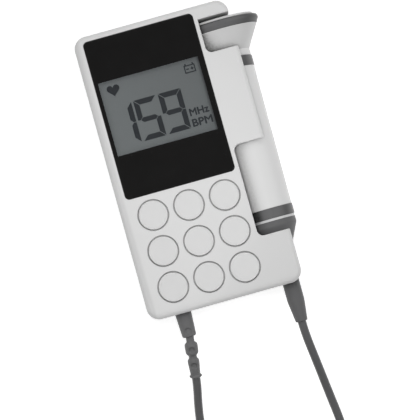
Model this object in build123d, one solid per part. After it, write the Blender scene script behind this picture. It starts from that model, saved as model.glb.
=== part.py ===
from build123d import *
import math
import os

os.makedirs("parts", exist_ok=True)

# A hand-held fetal doppler with its probe docked in the right side, in millimetres.
# It lies on its back: +Z out of the display, +Y towards the display end, +X towards the probe.
# The origin is the middle of the handset's back.

# ---- casing
handset_width = 76.4
handset_length = 140.4
corner_radius = 6.2
front_edge_radius = 2.4
rear_edge_radius = 2.0
side_wall = 2.0
front_wall = 1.8
rear_wall = 1.4
parting_height = 15.0
seam_depth = 0.4
seam_height = 0.5

# ---- dock in the right side, and the cut-outs that show the probe
probe_x = 32.25
band_radius = 11.6
dock_clearance = 0.3
dock_wall = 1.5
cutout_x = 22.7
shelf_depth = 7.0
head_cutout_length = 16.85
head_cutout_radius = 3.0
bridge_length = 45.95
grip_cutout_length = 45.2
grip_cutout_radius = 3.0
cutout_edge_radius = 0.5

# ---- probe, from its face down to the end of its boot
head_gap = 1.0
face_dome = 0.4
face_edge = 0.5
face_rim = 0.7
face_radius = 17.4
face_spigot_radius = 16.6
face_spigot_depth = 1.9
ring_height = 4.3
ring_radius = 19.7
ring_base_radius = 18.3
ring_drop = 1.8
ring_crest = 0.6
ring_crest_depth = 0.1
ring_shoulder = 0.7
face_lip = 0.2
head_flatness = 0.67
crystal_thickness = 0.8
crystal_split = 0.6
backing_depth = 6.0
cone_length = 11.3
cone_wall = 1.6
neck_length = 3.45
neck_radius = 11.4
neck_height = 9.6
neck_band_length = 5.15
grip_length = 69.5
grip_radius = 11.4
grip_rear_radius = 10.8
grip_wall = 2.0
rear_band_length = 4.95
rear_band_radius = 10.95
light_ring_length = 1.25
light_ring_radius = 10.6
tail_length = 2.75
tail_radius = 10.7
tail_cone_length = 13.1
boot_radius = 4.25
boot_length = 24.05
boot_taper_length = 10.4
boot_end_radius = 2.9
boot_spigot_length = 4.0
spigot_wall = 1.4
spigot_length = 7.0
probe_fit = 0.1
probe_board_width = 17.0
probe_board_length = 52.0
board_thickness = 1.6

# ---- display
window_width = 54.3
window_length = 78.3
window_left_margin = 4.65
window_top_margin = 3.1
window_corner_radius = 2.2
window_thickness = 1.2
window_gap = 0.1
view_width = 49.8
view_length = 36.5
view_left_inset = 1.85
view_top_inset = 20.6
glass_margin = 0.8
glass_thickness = 2.8
glass_gap = 0.3
holder_wall = 1.2
holder_base = 0.8
holder_edge = 0.9
strip_width = 2.0

# ---- keys
key_count = 3
key_pitch_x = 17.7
key_pitch_y = 17.8
key_column_x = -5.2
key_row_gap = 10.1
key_radius = 6.95
key_hole_gap = 0.5
key_hole_chamfer = 0.3
key_proud = 0.3
key_edge_radius = 0.6
key_skin = 1.6
key_wall = 1.4
key_flange = 1.0
key_flange_thickness = 0.9
key_rest_gap = 0.3
key_stem_gap = 0.05
key_travel = 0.8
key_stem_radius = 2.0
mat_thickness = 0.8
mat_dome_radius = 3.5
mat_dome_height = 0.55

# ---- battery bay and its door, centred on bay_x
cell_radius = 7.25
cell_length = 50.5
cell_nub_radius = 2.75
cell_nub_length = 1.0
cell_gap = 0.3
cell_end_room = 2.75
bay_x = -17.8
bay_wall = 1.2
bay_roof = 1.0
bay_end_setback = 8.5
door_rail = 1.2
door_gap = 0.2
door_recess = 0.2
door_tongue = 0.8
door_tongue_gap = 0.15
door_rib_height = 0.8
door_groove_count = 6
door_groove_pitch = 2.4
door_groove_width = 1.2
door_groove_depth = 0.4
contact_sheet = 0.4
contact_width = 10.0
spring_wire = 0.6
spring_radius = 4.2
spring_turns = 3

# ---- main board and its components
board_side_gap = 1.2
board_end_gap = 0.8

# components: across from the board's middle line, along from the holder's upper edge, width, length, height
top_chips = [(-19.3, 3.0, 8.0, 8.0, 1.4), (-3.3, 3.0, 12.0, 12.0, 1.4), (9.7, 3.0, 6.0, 5.0, 2.8)]
# and below the board: across, along from the board's lower edge, width, length, height
under_chips = [(9.0, 41.8, 12.0, 12.0, 1.4), (8.0, 23.8, 8.0, 8.0, 1.4), (4.0, 12.8, 4.0, 6.0, 2.8)]

# ---- casing screws: two by the top end, two above the battery bay, one by the bottom end
top_screw_xs = (-29.5, 3.5)
top_screw_inset = 8.5
middle_screw_xs = (-31.0, 13.0)
middle_screw_inset = 8.0
low_screw_x = 21.5
low_screw_inset = 6.5
screw_radius = 1.1
screw_length = 8.0
screw_head_radius = 2.4
screw_head_height = 1.8
screw_sink = 4.2
screw_fit = 0.1
cross_width = 0.6
cross_length = 2.8
cross_depth = 0.9
boss_wall = 0.9
boss_floor = 1.6
post_radius = 2.6

# ---- loudspeaker
speaker_x = -14.0
speaker_top_margin = 42.0
speaker_radius = 18.0
speaker_gasket = 0.5
speaker_flange = 1.2
speaker_depth = 5.2
speaker_back_radius = 9.0
magnet_radius = 8.0
magnet_height = 3.6
speaker_sheet = 0.6
speaker_seat_gap = 0.3
speaker_seat_height = 3.0
grille_radius = 13.5
grille_pitch = 3.6
grille_slot = 1.6

# ---- headphone socket in the top end
socket_x = -20.0
socket_bore_radius = 1.8
socket_bore_length = 14.0
socket_nose_radius = 2.9
socket_body_width = 7.0
socket_body_length = 13.0
socket_fit = 0.1

# ---- strain relief in the bottom end, and the cord
relief_x = -22.0
relief_radius = 4.0
relief_flange_radius = 5.2
relief_flange_thickness = 1.4
relief_root_length = 12.0
relief_root_end_radius = 3.4
relief_neck_radius = 1.95
relief_neck_length = 3.2
relief_first_length = 5.6
relief_first_radius = 3.2
relief_gap_length = 2.6
relief_second_length = 7.6
relief_second_radius = 2.75
relief_collar_radius = 3.05
relief_collar_length = 1.8
relief_droop = 14.0
relief_swing = 7.0
cord_radius = 1.9
cord_lead = 6.0
relief_lead = 4.0
arc_share = 0.45
coil_x = 4.0
coil_y = -168.0
coil_middle_radius = 21.0
coil_columns = 3
coil_layers = 3
coil_slack = 0.2
coil_nesting = 0.93
coil_edge_radius = 1.6
dimple_radius = 1.3
dimple_depth = 0.35

# ---- heights and places that follow from the sizes above
probe_z = rear_wall + dock_clearance + band_radius
front_inside = probe_z + band_radius + dock_clearance
handset_depth = front_inside + front_wall
half_width = handset_width / 2
half_length = handset_length / 2
far = handset_length
beyond = 1.0

shelf_y = half_length - shelf_depth
head_cutout_base = shelf_y - head_cutout_length
grip_cutout_top = head_cutout_base - bridge_length
grip_cutout_base = grip_cutout_top - grip_cutout_length

face_y = shelf_y - head_gap
face_shoulder = face_y - face_dome
ring_top = face_shoulder - face_edge - face_rim
ring_widest = ring_top - ring_drop
ring_base = ring_top - ring_height
cone_base = ring_base - cone_length
neck_base = cone_base - neck_length
neck_band_base = neck_base - neck_band_length
grip_base = neck_band_base - grip_length
rear_band_base = grip_base - rear_band_length
light_ring_base = rear_band_base - light_ring_length
tail_shoulder = light_ring_base - tail_length
tail_base = tail_shoulder - tail_cone_length
boot_taper_y = tail_base - boot_length
boot_end = boot_taper_y - boot_taper_length

window_x = -half_width + window_left_margin + window_width / 2
window_y = half_length - window_top_margin - window_length / 2
window_seat = handset_depth - window_thickness - window_gap / 2
view_x = window_x - window_width / 2 + view_left_inset + view_width / 2
view_y = window_y + window_length / 2 - view_top_inset - view_length / 2
glass_top = window_seat - window_gap / 2
glass_base = glass_top - glass_thickness

cell_z = rear_wall + door_tongue_gap + door_tongue + cell_gap + cell_radius
cell_x = cell_radius + cell_gap / 2
bay_half_width = cell_x + cell_radius + cell_gap + door_rail
door_half_width = bay_half_width - door_rail
bay_top = cell_z + cell_radius + cell_gap + bay_roof
bay_low_y = -half_length + bay_end_setback
bay_high_y = bay_low_y + cell_length + 2 * cell_end_room
door_slot_top = rear_wall + 2 * door_tongue_gap + door_tongue

board_z = bay_top
board_top = board_z + board_thickness
board_low_y = -half_length + side_wall + relief_flange_thickness + board_end_gap
board_high_y = half_length - side_wall - board_side_gap
board_left_x = -half_width + side_wall + board_side_gap
board_right_x = probe_x - band_radius - dock_clearance - dock_wall - board_side_gap
board_pocket_x = probe_x - ring_radius - 2 * dock_clearance - dock_wall - board_end_gap
board_pocket_y = neck_base
key_top = handset_depth + key_proud
flange_top = front_inside - key_rest_gap
dome_top = board_top + mat_thickness + mat_dome_height
key_stem_base = dome_top + key_travel + key_stem_gap
key_row_y = window_y - window_length / 2 - key_row_gap
boss_top = screw_sink + screw_head_height + boss_floor
screw_places = [(x, half_length - top_screw_inset) for x in top_screw_xs]
screw_places += [(x, bay_high_y + middle_screw_inset) for x in middle_screw_xs]
screw_places.append((low_screw_x, -half_length + low_screw_inset))
speaker_y = half_length - speaker_top_margin


def box(x0, x1, y0, y1, z0, z1):
    """A block between two corners."""
    return Pos((x0 + x1) / 2, (y0 + y1) / 2, (z0 + z1) / 2) * Box(x1 - x0, y1 - y0, z1 - z0)


def post(x, y, z0, z1, radius):
    """A cylinder standing along Z."""
    return Pos(x, y, (z0 + z1) / 2) * Cylinder(radius, z1 - z0)


def slab(x, y, width, length, radius, z0, z1):
    """A plate with rounded corners."""
    return Pos(x, y, z0) * extrude(RectangleRounded(width, length, radius), z1 - z0)


def turned(profile, x, z):
    """A solid of revolution about a line along Y, from its (radius, y) profile."""
    return Pos(x, 0, z) * revolve(make_face(Polyline(*profile, close=True)), axis=Axis.Y)


def oval(y, across, high):
    """An oval or round section of the probe, on its axis at one y."""
    plane = Plane(origin=(probe_x, y, probe_z), x_dir=(1, 0, 0), z_dir=(0, 1, 0))
    round_one = abs(across - high) < 1e-6
    return plane * (Circle(across) if round_one else Ellipse(across, high))


def flattened(shape):
    """A turned piece of the head, pressed flat in Z about the probe's axis."""
    centred = Pos(-probe_x, 0, -probe_z) * shape
    return Pos(probe_x, 0, probe_z) * scale(centred, by=(1, 1, head_flatness))


def casing():
    """The outside of the closed handset, before its cut-outs."""
    block = slab(0, 0, handset_width, handset_length, corner_radius, 0, handset_depth)
    block = fillet(block.faces().sort_by(Axis.Z)[-1].edges(), front_edge_radius)
    return fillet(block.faces().sort_by(Axis.Z)[0].edges(), rear_edge_radius)


def dock_space(grow):
    """The probe's own space grown outwards, and its way out through the handset's right side."""
    ring_high = ring_radius * head_flatness
    stations = [
        (-half_length - boot_taper_length, boot_radius, boot_radius),
        (tail_base - spigot_wall, boot_radius, boot_radius),
        (grip_cutout_base - dock_clearance, band_radius, band_radius),
        (cone_base, band_radius, band_radius),
        (ring_base, ring_base_radius + dock_clearance, ring_high),
        (ring_widest, ring_radius + dock_clearance, ring_high),
        (shelf_y + grow - dock_clearance, ring_radius + dock_clearance, ring_high),
    ]
    sections = [oval(y, across + grow, high + grow) for y, across, high in stations]
    upper = [(y, probe_z + high + grow) for y, across, high in stations]
    lower = [(y, probe_z - high - grow) for y, across, high in reversed(stations)]
    outline = Plane.YZ.offset(probe_x) * make_face(Polyline(*upper, *lower, close=True))
    return loft(sections, ruled=True), extrude(outline, far)


def cutouts():
    """The head's cut-out right through the handset, and the grip's through its front."""
    head = box(cutout_x, far, head_cutout_base, shelf_y, -beyond, handset_depth + beyond)
    corner = head.edges().filter_by(Axis.Z).group_by(Axis.X)[0].sort_by(Axis.Y)[0]
    head = fillet(corner, head_cutout_radius)
    grip = box(cutout_x, far, grip_cutout_base, grip_cutout_top, probe_z, handset_depth + beyond)
    grip = fillet(grip.edges().filter_by(Axis.Z).group_by(Axis.X)[0], grip_cutout_radius)
    return head, grip


def handset_body():
    """Both casing halves in one, hollow, with the dock and its cut-outs."""
    head, grip = cutouts()
    outer = casing() - head - grip
    spans = ((grip_cutout_base, grip_cutout_top), (head_cutout_base, shelf_y))
    rim = [
        edge
        for edge in outer.edges().filter_by(lambda edge: edge.center().Z > handset_depth - cutout_edge_radius)
        if edge.center().X > cutout_x - cutout_edge_radius
        and any(low - cutout_edge_radius < edge.center().Y < high + cutout_edge_radius for low, high in spans)
    ]
    outer = fillet(rim, cutout_edge_radius)
    inner = slab(
        0,
        0,
        handset_width - 2 * side_wall,
        handset_length - 2 * side_wall,
        corner_radius - side_wall,
        rear_wall,
        front_inside,
    )
    for space in dock_space(dock_clearance + dock_wall):
        inner -= space
    inner -= box(cutout_x - dock_wall, far, grip_cutout_base - dock_wall, grip_cutout_top + dock_wall,
                 probe_z, handset_depth)
    inner -= box(cutout_x - dock_wall, far, head_cutout_base - dock_wall, shelf_y + dock_wall, 0, handset_depth)
    outer -= inner
    for space in dock_space(dock_clearance):
        outer -= space
    return outer


def end_holes():
    """The holes through both ends, centred on the parting plane."""
    socket = turned(
        [(0, half_length + beyond), (socket_nose_radius + socket_fit, half_length + beyond),
         (socket_nose_radius + socket_fit, half_length - side_wall - beyond), (0, half_length - side_wall - beyond)],
        socket_x, parting_height,
    )
    relief = turned(
        [(0, -half_length - beyond), (relief_radius + socket_fit, -half_length - beyond),
         (relief_radius + socket_fit, -half_length + side_wall + beyond), (0, -half_length + side_wall + beyond)],
        relief_x, parting_height,
    )
    return socket + relief


def key_places():
    """Centres of the keys, row by row from the display down."""
    middle = (key_count - 1) / 2
    return [
        (key_column_x + (column - middle) * key_pitch_x, key_row_y - row * key_pitch_y)
        for row in range(key_count)
        for column in range(key_count)
    ]


def front_shell(body):
    """The display side of the casing, with its window seat, key holes and screw posts."""
    shell = split(body, bisect_by=Plane.XY.offset(parting_height), keep=Keep.TOP)
    seam = slab(0, 0, handset_width + 2 * beyond, handset_length + 2 * beyond, corner_radius + beyond,
                parting_height, parting_height + seam_height)
    seam -= slab(0, 0, handset_width - 2 * seam_depth, handset_length - 2 * seam_depth,
                 corner_radius - seam_depth, parting_height, parting_height + seam_height)
    shell -= seam
    shell -= slab(window_x, window_y, window_width + 2 * window_gap, window_length + 2 * window_gap,
                  window_corner_radius + window_gap, window_seat, handset_depth + beyond)
    half_view_x = view_width / 2 + glass_margin + glass_gap
    half_view_y = view_length / 2 + glass_margin + glass_gap
    shell -= box(view_x - half_view_x, view_x + half_view_x, view_y - half_view_y, view_y + half_view_y,
                 glass_base - glass_gap, handset_depth)
    hole = key_radius + key_hole_gap
    for x, y in key_places():
        shell -= post(x, y, front_inside - beyond, handset_depth + beyond, hole)
        shell -= Pos(x, y, handset_depth - key_hole_chamfer / 2) * Cone(
            hole, hole + key_hole_chamfer, key_hole_chamfer)
    for x, y in screw_places:
        shell += post(x, y, boss_top, front_inside, post_radius)
        shell -= post(x, y, boss_top, boss_top + screw_length, screw_radius + screw_fit / 2)
    return shell


def battery_bay():
    """Walls and roof of the battery bay, standing on the rear casing's floor."""
    outer = box(-bay_half_width - bay_wall, bay_half_width + bay_wall, bay_low_y - bay_wall,
                bay_high_y + bay_wall, rear_wall, bay_top)
    tunnel = box(-bay_half_width - bay_wall, bay_half_width + bay_wall, -half_length + side_wall,
                 bay_low_y, rear_wall, door_slot_top + bay_wall)
    inner = box(-bay_half_width, bay_half_width, bay_low_y, bay_high_y, rear_wall, bay_top - bay_roof)
    slot = box(-bay_half_width, bay_half_width, -half_length, bay_low_y, rear_wall, door_slot_top)
    ribs = [
        box(side * bay_half_width - door_rail / 2, side * bay_half_width + door_rail / 2, bay_low_y,
            bay_high_y - cell_end_room, door_slot_top, door_slot_top + door_rib_height)
        for side in (-1, 1)
    ]
    return outer + tunnel - inner - slot + ribs[0] + ribs[1]


def door_opening(gap):
    """The stepped slot that the battery door slides in, or with a gap, the door's own section."""
    step = rear_wall + (door_tongue_gap if gap else 0)
    top = step + door_tongue if gap else door_slot_top
    high_y = bay_high_y - door_rail - gap
    plate = box(-door_half_width + gap, door_half_width - gap, -far, high_y, door_recess if gap else -beyond, step)
    tongue = box(-bay_half_width + gap, bay_half_width - gap, -far, high_y - cell_end_room, step, top)
    return Pos(bay_x, 0, 0) * (plate + tongue)


def grille(z0, z1):
    """Slots of the loudspeaker's grille, as long as their chords of one circle."""
    rows = int(grille_radius // grille_pitch)
    slots = []
    for row in range(-rows, rows + 1):
        across = row * grille_pitch
        length = 2 * math.sqrt(grille_radius**2 - across**2)
        slots.append(Pos(speaker_x, speaker_y + across, z0) * extrude(SlotOverall(length, grille_slot), z1 - z0))
    return slots


def rear_shell(body):
    """The back of the casing, with the battery bay, speaker seat, grille and screw bosses."""
    shell = split(body, bisect_by=Plane.XY.offset(parting_height), keep=Keep.BOTTOM)
    shell += Pos(bay_x, 0, 0) * battery_bay()
    shell -= door_opening(0)
    seat = speaker_radius + speaker_seat_gap
    shell += post(speaker_x, speaker_y, rear_wall, rear_wall + speaker_seat_height, seat + boss_wall)
    shell -= post(speaker_x, speaker_y, rear_wall, rear_wall + speaker_seat_height, seat)
    for slot in grille(-beyond, rear_wall + beyond):
        shell -= slot
    for x, y in screw_places:
        shell += post(x, y, rear_wall / 2, boss_top, screw_head_radius + screw_fit + boss_wall)
        shell -= post(x, y, -beyond, screw_sink + screw_head_height, screw_head_radius + screw_fit)
        shell -= post(x, y, 0, boss_top, screw_radius + screw_fit)
    return shell


def display_window():
    return slab(window_x, window_y, window_width, window_length, window_corner_radius,
                window_seat, window_seat + window_thickness)


def lcd_panel():
    half_x = view_width / 2 + glass_margin
    half_y = view_length / 2 + glass_margin
    return box(view_x - half_x, view_x + half_x, view_y - half_y, view_y + half_y, glass_base, glass_top)


def lcd_holder():
    """A tray on the main board that carries the glass by its edges."""
    left = view_x - view_width / 2 - glass_margin - glass_gap
    right = board_right_x - holder_edge
    half_y = view_length / 2 + glass_margin + glass_gap
    tray = box(left, right, view_y - half_y, view_y + half_y, board_top, glass_base)
    tray -= box(left + holder_wall, right - holder_wall, view_y - half_y + holder_wall,
                view_y + half_y - holder_wall, board_top + holder_base, glass_base)
    strip_y = view_y - half_y + holder_wall
    return tray - box(left + 2 * holder_wall, right - 2 * holder_wall, strip_y, strip_y + strip_width,
                      board_top, glass_base)


def lcd_connector():
    """The strip that carries the glass's contacts down to the board."""
    left = view_x - view_width / 2 - glass_margin - glass_gap + 2 * holder_wall + probe_fit
    right = board_right_x - holder_edge - 2 * holder_wall - probe_fit
    strip_y = view_y - view_length / 2 - glass_margin - glass_gap + holder_wall
    return box(left, right, strip_y + probe_fit, strip_y + strip_width - probe_fit, board_top, glass_base)


def key_cap(x, y):
    """A round cap, held under the front wall by its flange, with a stem over the mat's dome."""
    cap = post(x, y, flange_top, key_top, key_radius)
    cap = fillet(cap.faces().sort_by(Axis.Z)[-1].edges(), key_edge_radius)
    cap += post(x, y, flange_top - key_flange_thickness, flange_top, key_radius + key_flange)
    cap -= post(x, y, flange_top - key_flange_thickness, key_top - key_skin, key_radius - key_wall)
    return cap + post(x, y, key_stem_base, key_top - key_skin, key_stem_radius)


def key_mat():
    """The silicone mat on the board, with one dome under each key."""
    middle_y = key_row_y - (key_count - 1) / 2 * key_pitch_y
    half_x = key_count * key_pitch_x / 2 - key_flange
    half_y = key_count * key_pitch_y / 2 - key_flange
    mat = box(key_column_x - half_x, board_right_x,
              middle_y - half_y, middle_y + half_y, board_top, board_top + mat_thickness)
    for x, y in key_places():
        mat += Pos(x, y, board_top + mat_thickness + mat_dome_height / 2) * Cone(
            mat_dome_radius, mat_dome_radius - mat_dome_height, mat_dome_height)
    return mat


def main_board():
    board = box(board_left_x, board_right_x, board_low_y, board_high_y, board_z, board_top)
    board -= box(board_pocket_x, far, board_pocket_y, far, board_z, board_top)
    for x, y in screw_places:
        board -= post(x, y, board_z, board_top, post_radius + glass_gap)
    return board


def board_chips():
    """Components on the two sides of the board, clear of the bay, speaker and LCD holder."""
    middle_x = (board_left_x + board_right_x) / 2
    holder_y = view_y + view_length / 2 + glass_margin + glass_gap
    found = [
        box(middle_x + x - width / 2, middle_x + x + width / 2, holder_y + y, holder_y + y + length,
            board_top, board_top + height)
        for x, y, width, length, height in top_chips
    ]
    for x, y, width, length, height in under_chips:
        middle_y = board_low_y + y
        found.append(box(x - width / 2, x + width / 2, middle_y - length / 2, middle_y + length / 2,
                         board_z - height, board_z))
    return found


def cells():
    """Two AA cells, head to tail."""
    low = bay_low_y + cell_end_room
    found = []
    for side in (-1, 1):
        can = turned([(0, 0), (cell_radius, 0), (cell_radius, cell_length - cell_nub_length),
                      (cell_nub_radius, cell_length - cell_nub_length), (cell_nub_radius, cell_length),
                      (0, cell_length)], 0, 0)
        if side > 0:
            can = Rot(Z=180) * Pos(0, -cell_length, 0) * can
        found.append(Pos(bay_x + side * cell_x, low, cell_z) * can)
    return found


def battery_contacts():
    """Sprung contacts at the flat ends, formed sheet contacts at the nubs."""
    found = []
    for side in (-1, 1):
        x = bay_x + side * cell_x
        for end_y, inward in ((bay_low_y, 1), (bay_high_y, -1)):
            sheet = box(x - contact_width / 2, x + contact_width / 2, min(end_y, end_y + inward * contact_sheet),
                        max(end_y, end_y + inward * contact_sheet), cell_z - contact_width / 2,
                        cell_z + contact_width / 2)
            start = end_y + inward * contact_sheet
            reach = cell_end_room - contact_sheet
            if inward * side > 0:
                press = turned([(0, start), (cell_nub_radius, start), (cell_nub_radius, start + inward * reach),
                                (0, start + inward * reach)], x, cell_z)
            else:
                press = spring(x, start, inward * reach)
            found.append(sheet + press)
    return found


def spring(x, start, reach):
    """A pressed conical spring as touching rings that narrow towards the cell."""
    rings = []
    step = reach / spring_turns
    for turn in range(spring_turns):
        mean = spring_radius - turn * spring_wire
        low, high = start + turn * step, start + (turn + 1) * step
        rings.append(turned([(mean - spring_wire, low), (mean + spring_wire / 2, low),
                             (mean + spring_wire / 2, high), (mean - spring_wire, high)], x, cell_z))
    return rings[0] + rings[1] + rings[2]


def battery_door():
    door = casing() & door_opening(door_gap)
    low = -half_length + 2 * bay_end_setback
    for groove in range(door_groove_count):
        y = low + groove * door_groove_pitch
        door -= Pos(bay_x, y, 0) * box(-contact_width, contact_width, 0, door_groove_width, 0,
                                       door_recess + door_groove_depth)
    return door


def casing_screws():
    """Cross-headed screws, sunk into the rear bosses."""
    found = []
    for x, y in screw_places:
        seat = screw_sink + screw_head_height
        screw = post(x, y, screw_sink, seat, screw_head_radius)
        screw += post(x, y, seat, seat + screw_length, screw_radius)
        for width, length in ((cross_width, cross_length), (cross_length, cross_width)):
            screw -= box(x - width / 2, x + width / 2, y - length / 2, y + length / 2, 0,
                         screw_sink + cross_depth)
        found.append(screw)
    return found


def speaker_parts():
    """Gasket ring, pressed basket with its magnet, and cone."""
    z0 = rear_wall
    gasket = post(speaker_x, speaker_y, z0, z0 + speaker_gasket, speaker_radius)
    gasket -= post(speaker_x, speaker_y, z0, z0 + speaker_gasket, grille_radius + 2 * speaker_sheet)
    z1 = z0 + speaker_gasket
    z2 = z1 + speaker_flange
    z3 = z2 + speaker_depth
    inner = speaker_radius - 2 * speaker_flange
    basket = post(speaker_x, speaker_y, z1, z2, speaker_radius)
    basket += Pos(speaker_x, speaker_y, (z2 + z3) / 2) * Cone(inner, speaker_back_radius, speaker_depth)
    basket -= post(speaker_x, speaker_y, z1, z2, inner - speaker_sheet)
    basket -= Pos(speaker_x, speaker_y, (z2 + z3) / 2 - speaker_sheet) * Cone(
        inner - speaker_sheet, speaker_back_radius - speaker_sheet, speaker_depth)
    basket += post(speaker_x, speaker_y, z3, z3 + magnet_height, magnet_radius)
    rim = inner - 2 * speaker_sheet
    cone = Pos(speaker_x, speaker_y, z1 + speaker_depth / 2) * Cone(rim, magnet_radius / 2, speaker_depth)
    cone -= Pos(speaker_x, speaker_y, z1 + speaker_depth / 2 - speaker_sheet) * Cone(
        rim, magnet_radius / 2, speaker_depth)
    return gasket, basket, cone


def headphone_socket():
    """A round nose through the top wall and a block fixed under the board."""
    body_y = half_length - side_wall
    block = box(socket_x - socket_body_width / 2, socket_x + socket_body_width / 2,
                body_y - socket_body_length, body_y, 2 * parting_height - board_z, board_z)
    nose = turned([(0, body_y - beyond), (socket_nose_radius, body_y - beyond), (socket_nose_radius, half_length),
                   (0, half_length)], socket_x, parting_height)
    bore = turned([(0, half_length + beyond), (socket_bore_radius, half_length + beyond),
                   (socket_bore_radius, half_length - socket_bore_length), (0, half_length - socket_bore_length)],
                  socket_x, parting_height)
    return block + nose - bore


def cable_relief():
    """The handset's strain relief: a tapered root, then two segments on a thin neck that droop."""
    wall = -half_length
    inside = wall + side_wall
    root_end = wall - relief_root_length
    root = turned([(0, inside + relief_flange_thickness), (relief_flange_radius, inside + relief_flange_thickness),
                   (relief_flange_radius, inside), (relief_radius, inside), (relief_radius, wall),
                   (relief_root_end_radius, root_end), (0, root_end)], relief_x, parting_height)
    lengths = [
        (relief_neck_radius, relief_neck_length),
        (relief_first_radius, relief_first_length),
        (relief_neck_radius, relief_gap_length),
        (relief_second_radius, relief_second_length),
        (relief_collar_radius, relief_collar_length),
    ]
    profile, y = [(0, 0)], 0.0
    for radius, length in lengths:
        profile += [(radius, y), (radius, y - length)]
        y -= length
    profile.append((0, y))
    chain = turned(profile, 0, 0) + Sphere(relief_neck_radius)
    first = -relief_neck_length - relief_first_length / 2
    second = first - relief_first_length / 2 - relief_gap_length - relief_second_length / 2
    for place, radius in ((first, relief_first_radius), (second, relief_second_radius)):
        for side in (-1, 1):
            chain -= Pos(0, place, side * (radius + dimple_radius - dimple_depth)) * Sphere(dimple_radius)
    return root + relief_place() * chain


def relief_place():
    """Where the drooping chain starts and how it hangs."""
    return Pos(relief_x, -half_length - relief_root_length, parting_height) * Rot(
        relief_droop, 0, -relief_swing)


def probe_face():
    """The slightly domed front plate with its round edge, and a spigot inside the ring."""
    flat = face_radius - face_edge
    dome_radius = (flat**2 + face_dome**2) / (2 * face_dome)
    halfway = face_y - dome_radius + math.sqrt(dome_radius**2 - (flat / 2)**2)
    bend = face_edge * (1 - math.sqrt(0.5))
    spigot_end = ring_top - face_spigot_depth
    outline = [
        Line((0, spigot_end), (face_spigot_radius, spigot_end)),
        Line((face_spigot_radius, spigot_end), (face_spigot_radius, ring_top)),
        Line((face_spigot_radius, ring_top), (face_radius, ring_top)),
        Line((face_radius, ring_top), (face_radius, ring_top + face_rim)),
        ThreePointArc((face_radius, ring_top + face_rim), (face_radius - bend, face_shoulder - bend),
                      (flat, face_shoulder)),
        ThreePointArc((flat, face_shoulder), (flat / 2, halfway), (0, face_y)),
        Line((0, face_y), (0, spigot_end)),
    ]
    return flattened(Pos(probe_x, 0, probe_z) * revolve(make_face(outline), axis=Axis.Y))


def head_ring():
    """The dark ring round the probe's face."""
    inner = face_spigot_radius + probe_fit
    lower = (ring_radius - ring_crest_depth, ring_widest - ring_crest)
    upper = (ring_radius - ring_crest_depth, ring_widest + ring_crest)
    shoulder = (ring_radius - ring_shoulder, ring_top - ring_shoulder / 2)
    lip = (face_radius + face_lip, ring_top)
    outline = [
        Line((inner, ring_base), (ring_base_radius, ring_base)),
        Line((ring_base_radius, ring_base), lower),
        ThreePointArc(lower, (ring_radius, ring_widest), upper),
        ThreePointArc(upper, shoulder, lip),
        Line(lip, (inner, ring_top)),
        Line((inner, ring_top), (inner, ring_base)),
    ]
    return flattened(Pos(probe_x, 0, probe_z) * revolve(make_face(outline), axis=Axis.Y))


def probe_head():
    """The flared cone from the oval neck to the wider ring, with a spigot into the grip."""
    base_high = ring_base_radius * head_flatness
    outer = loft([oval(cone_base, neck_radius, neck_height), oval(ring_base, ring_base_radius, base_high)],
                 ruled=True)
    inner = loft([
        oval(cone_base, neck_radius - cone_wall, neck_height - cone_wall),
        oval(ring_base, ring_base_radius - cone_wall, base_high - cone_wall),
    ], ruled=True)
    neck = loft([oval(neck_base, neck_radius, neck_height), oval(cone_base, neck_radius, neck_height)], ruled=True)
    bore = grip_radius - grip_wall - probe_fit - spigot_wall
    spigot_end = neck_band_base - spigot_length
    way_through = turned([(0, cone_base), (bore, cone_base), (bore, neck_base), (0, neck_base)], probe_x, probe_z)
    sleeve = turned([(bore, cone_base), (bore + spigot_wall, cone_base), (bore + spigot_wall, spigot_end),
                     (bore, spigot_end)], probe_x, probe_z)
    return outer - inner + (neck - way_through) + sleeve


def probe_ring(top, base, radius):
    """A band round a spigot of the probe."""
    inner = grip_radius - grip_wall
    return turned([(inner, top), (radius, top), (radius, base), (inner, base)], probe_x, probe_z)


def probe_grip():
    inner = grip_radius - grip_wall
    return turned([(inner, neck_band_base), (grip_radius, neck_band_base), (grip_rear_radius, grip_base),
                   (inner, grip_base)], probe_x, probe_z)


def probe_tail():
    """The dark rear cap: a spigot into the grip, a short barrel and a cone down to the boot."""
    spigot = grip_radius - grip_wall - probe_fit
    top = grip_base + spigot_length
    return turned([
        (spigot - spigot_wall, top), (spigot, top), (spigot, light_ring_base), (tail_radius, light_ring_base),
        (tail_radius, tail_shoulder), (boot_radius + probe_fit, tail_base), (boot_radius - probe_fit, tail_base),
        (boot_radius - probe_fit, tail_base + boot_spigot_length), (spigot - spigot_wall, tail_shoulder),
    ], probe_x, probe_z)


def probe_boot():
    """The boot on the probe's cord, seated in the tail."""
    inside = boot_radius - 2 * probe_fit
    return turned([
        (0, tail_base + boot_spigot_length), (inside, tail_base + boot_spigot_length), (inside, tail_base),
        (boot_radius, tail_base), (boot_radius - probe_fit, boot_taper_y), (boot_end_radius, boot_end), (0, boot_end),
    ], probe_x, probe_z)


def crystals_and_backing():
    """Two half-oval piezo plates behind the face, with an absorbing block behind them."""
    top = ring_top - face_spigot_depth
    across = face_spigot_radius - cone_wall
    disc = turned([(0, top), (across, top), (across, top - crystal_thickness), (0, top - crystal_thickness)],
                  probe_x, probe_z)
    plate = flattened(disc) - box(probe_x - crystal_split / 2, probe_x + crystal_split / 2, 0, far, 0, far)
    base = top - crystal_thickness
    block = turned([(0, base), (across - cone_wall, base), (across - 3 * cone_wall, base - backing_depth),
                    (0, base - backing_depth)], probe_x, probe_z)
    return plate.solids(), flattened(block)


def probe_board():
    """The amplifier board inside the grip, on a foot against the head's spigot."""
    top = neck_band_base - spigot_length
    return box(probe_x - probe_board_width / 2, probe_x + probe_board_width / 2, top - probe_board_length, top,
               probe_z - board_thickness / 2, probe_z + board_thickness / 2)


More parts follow.
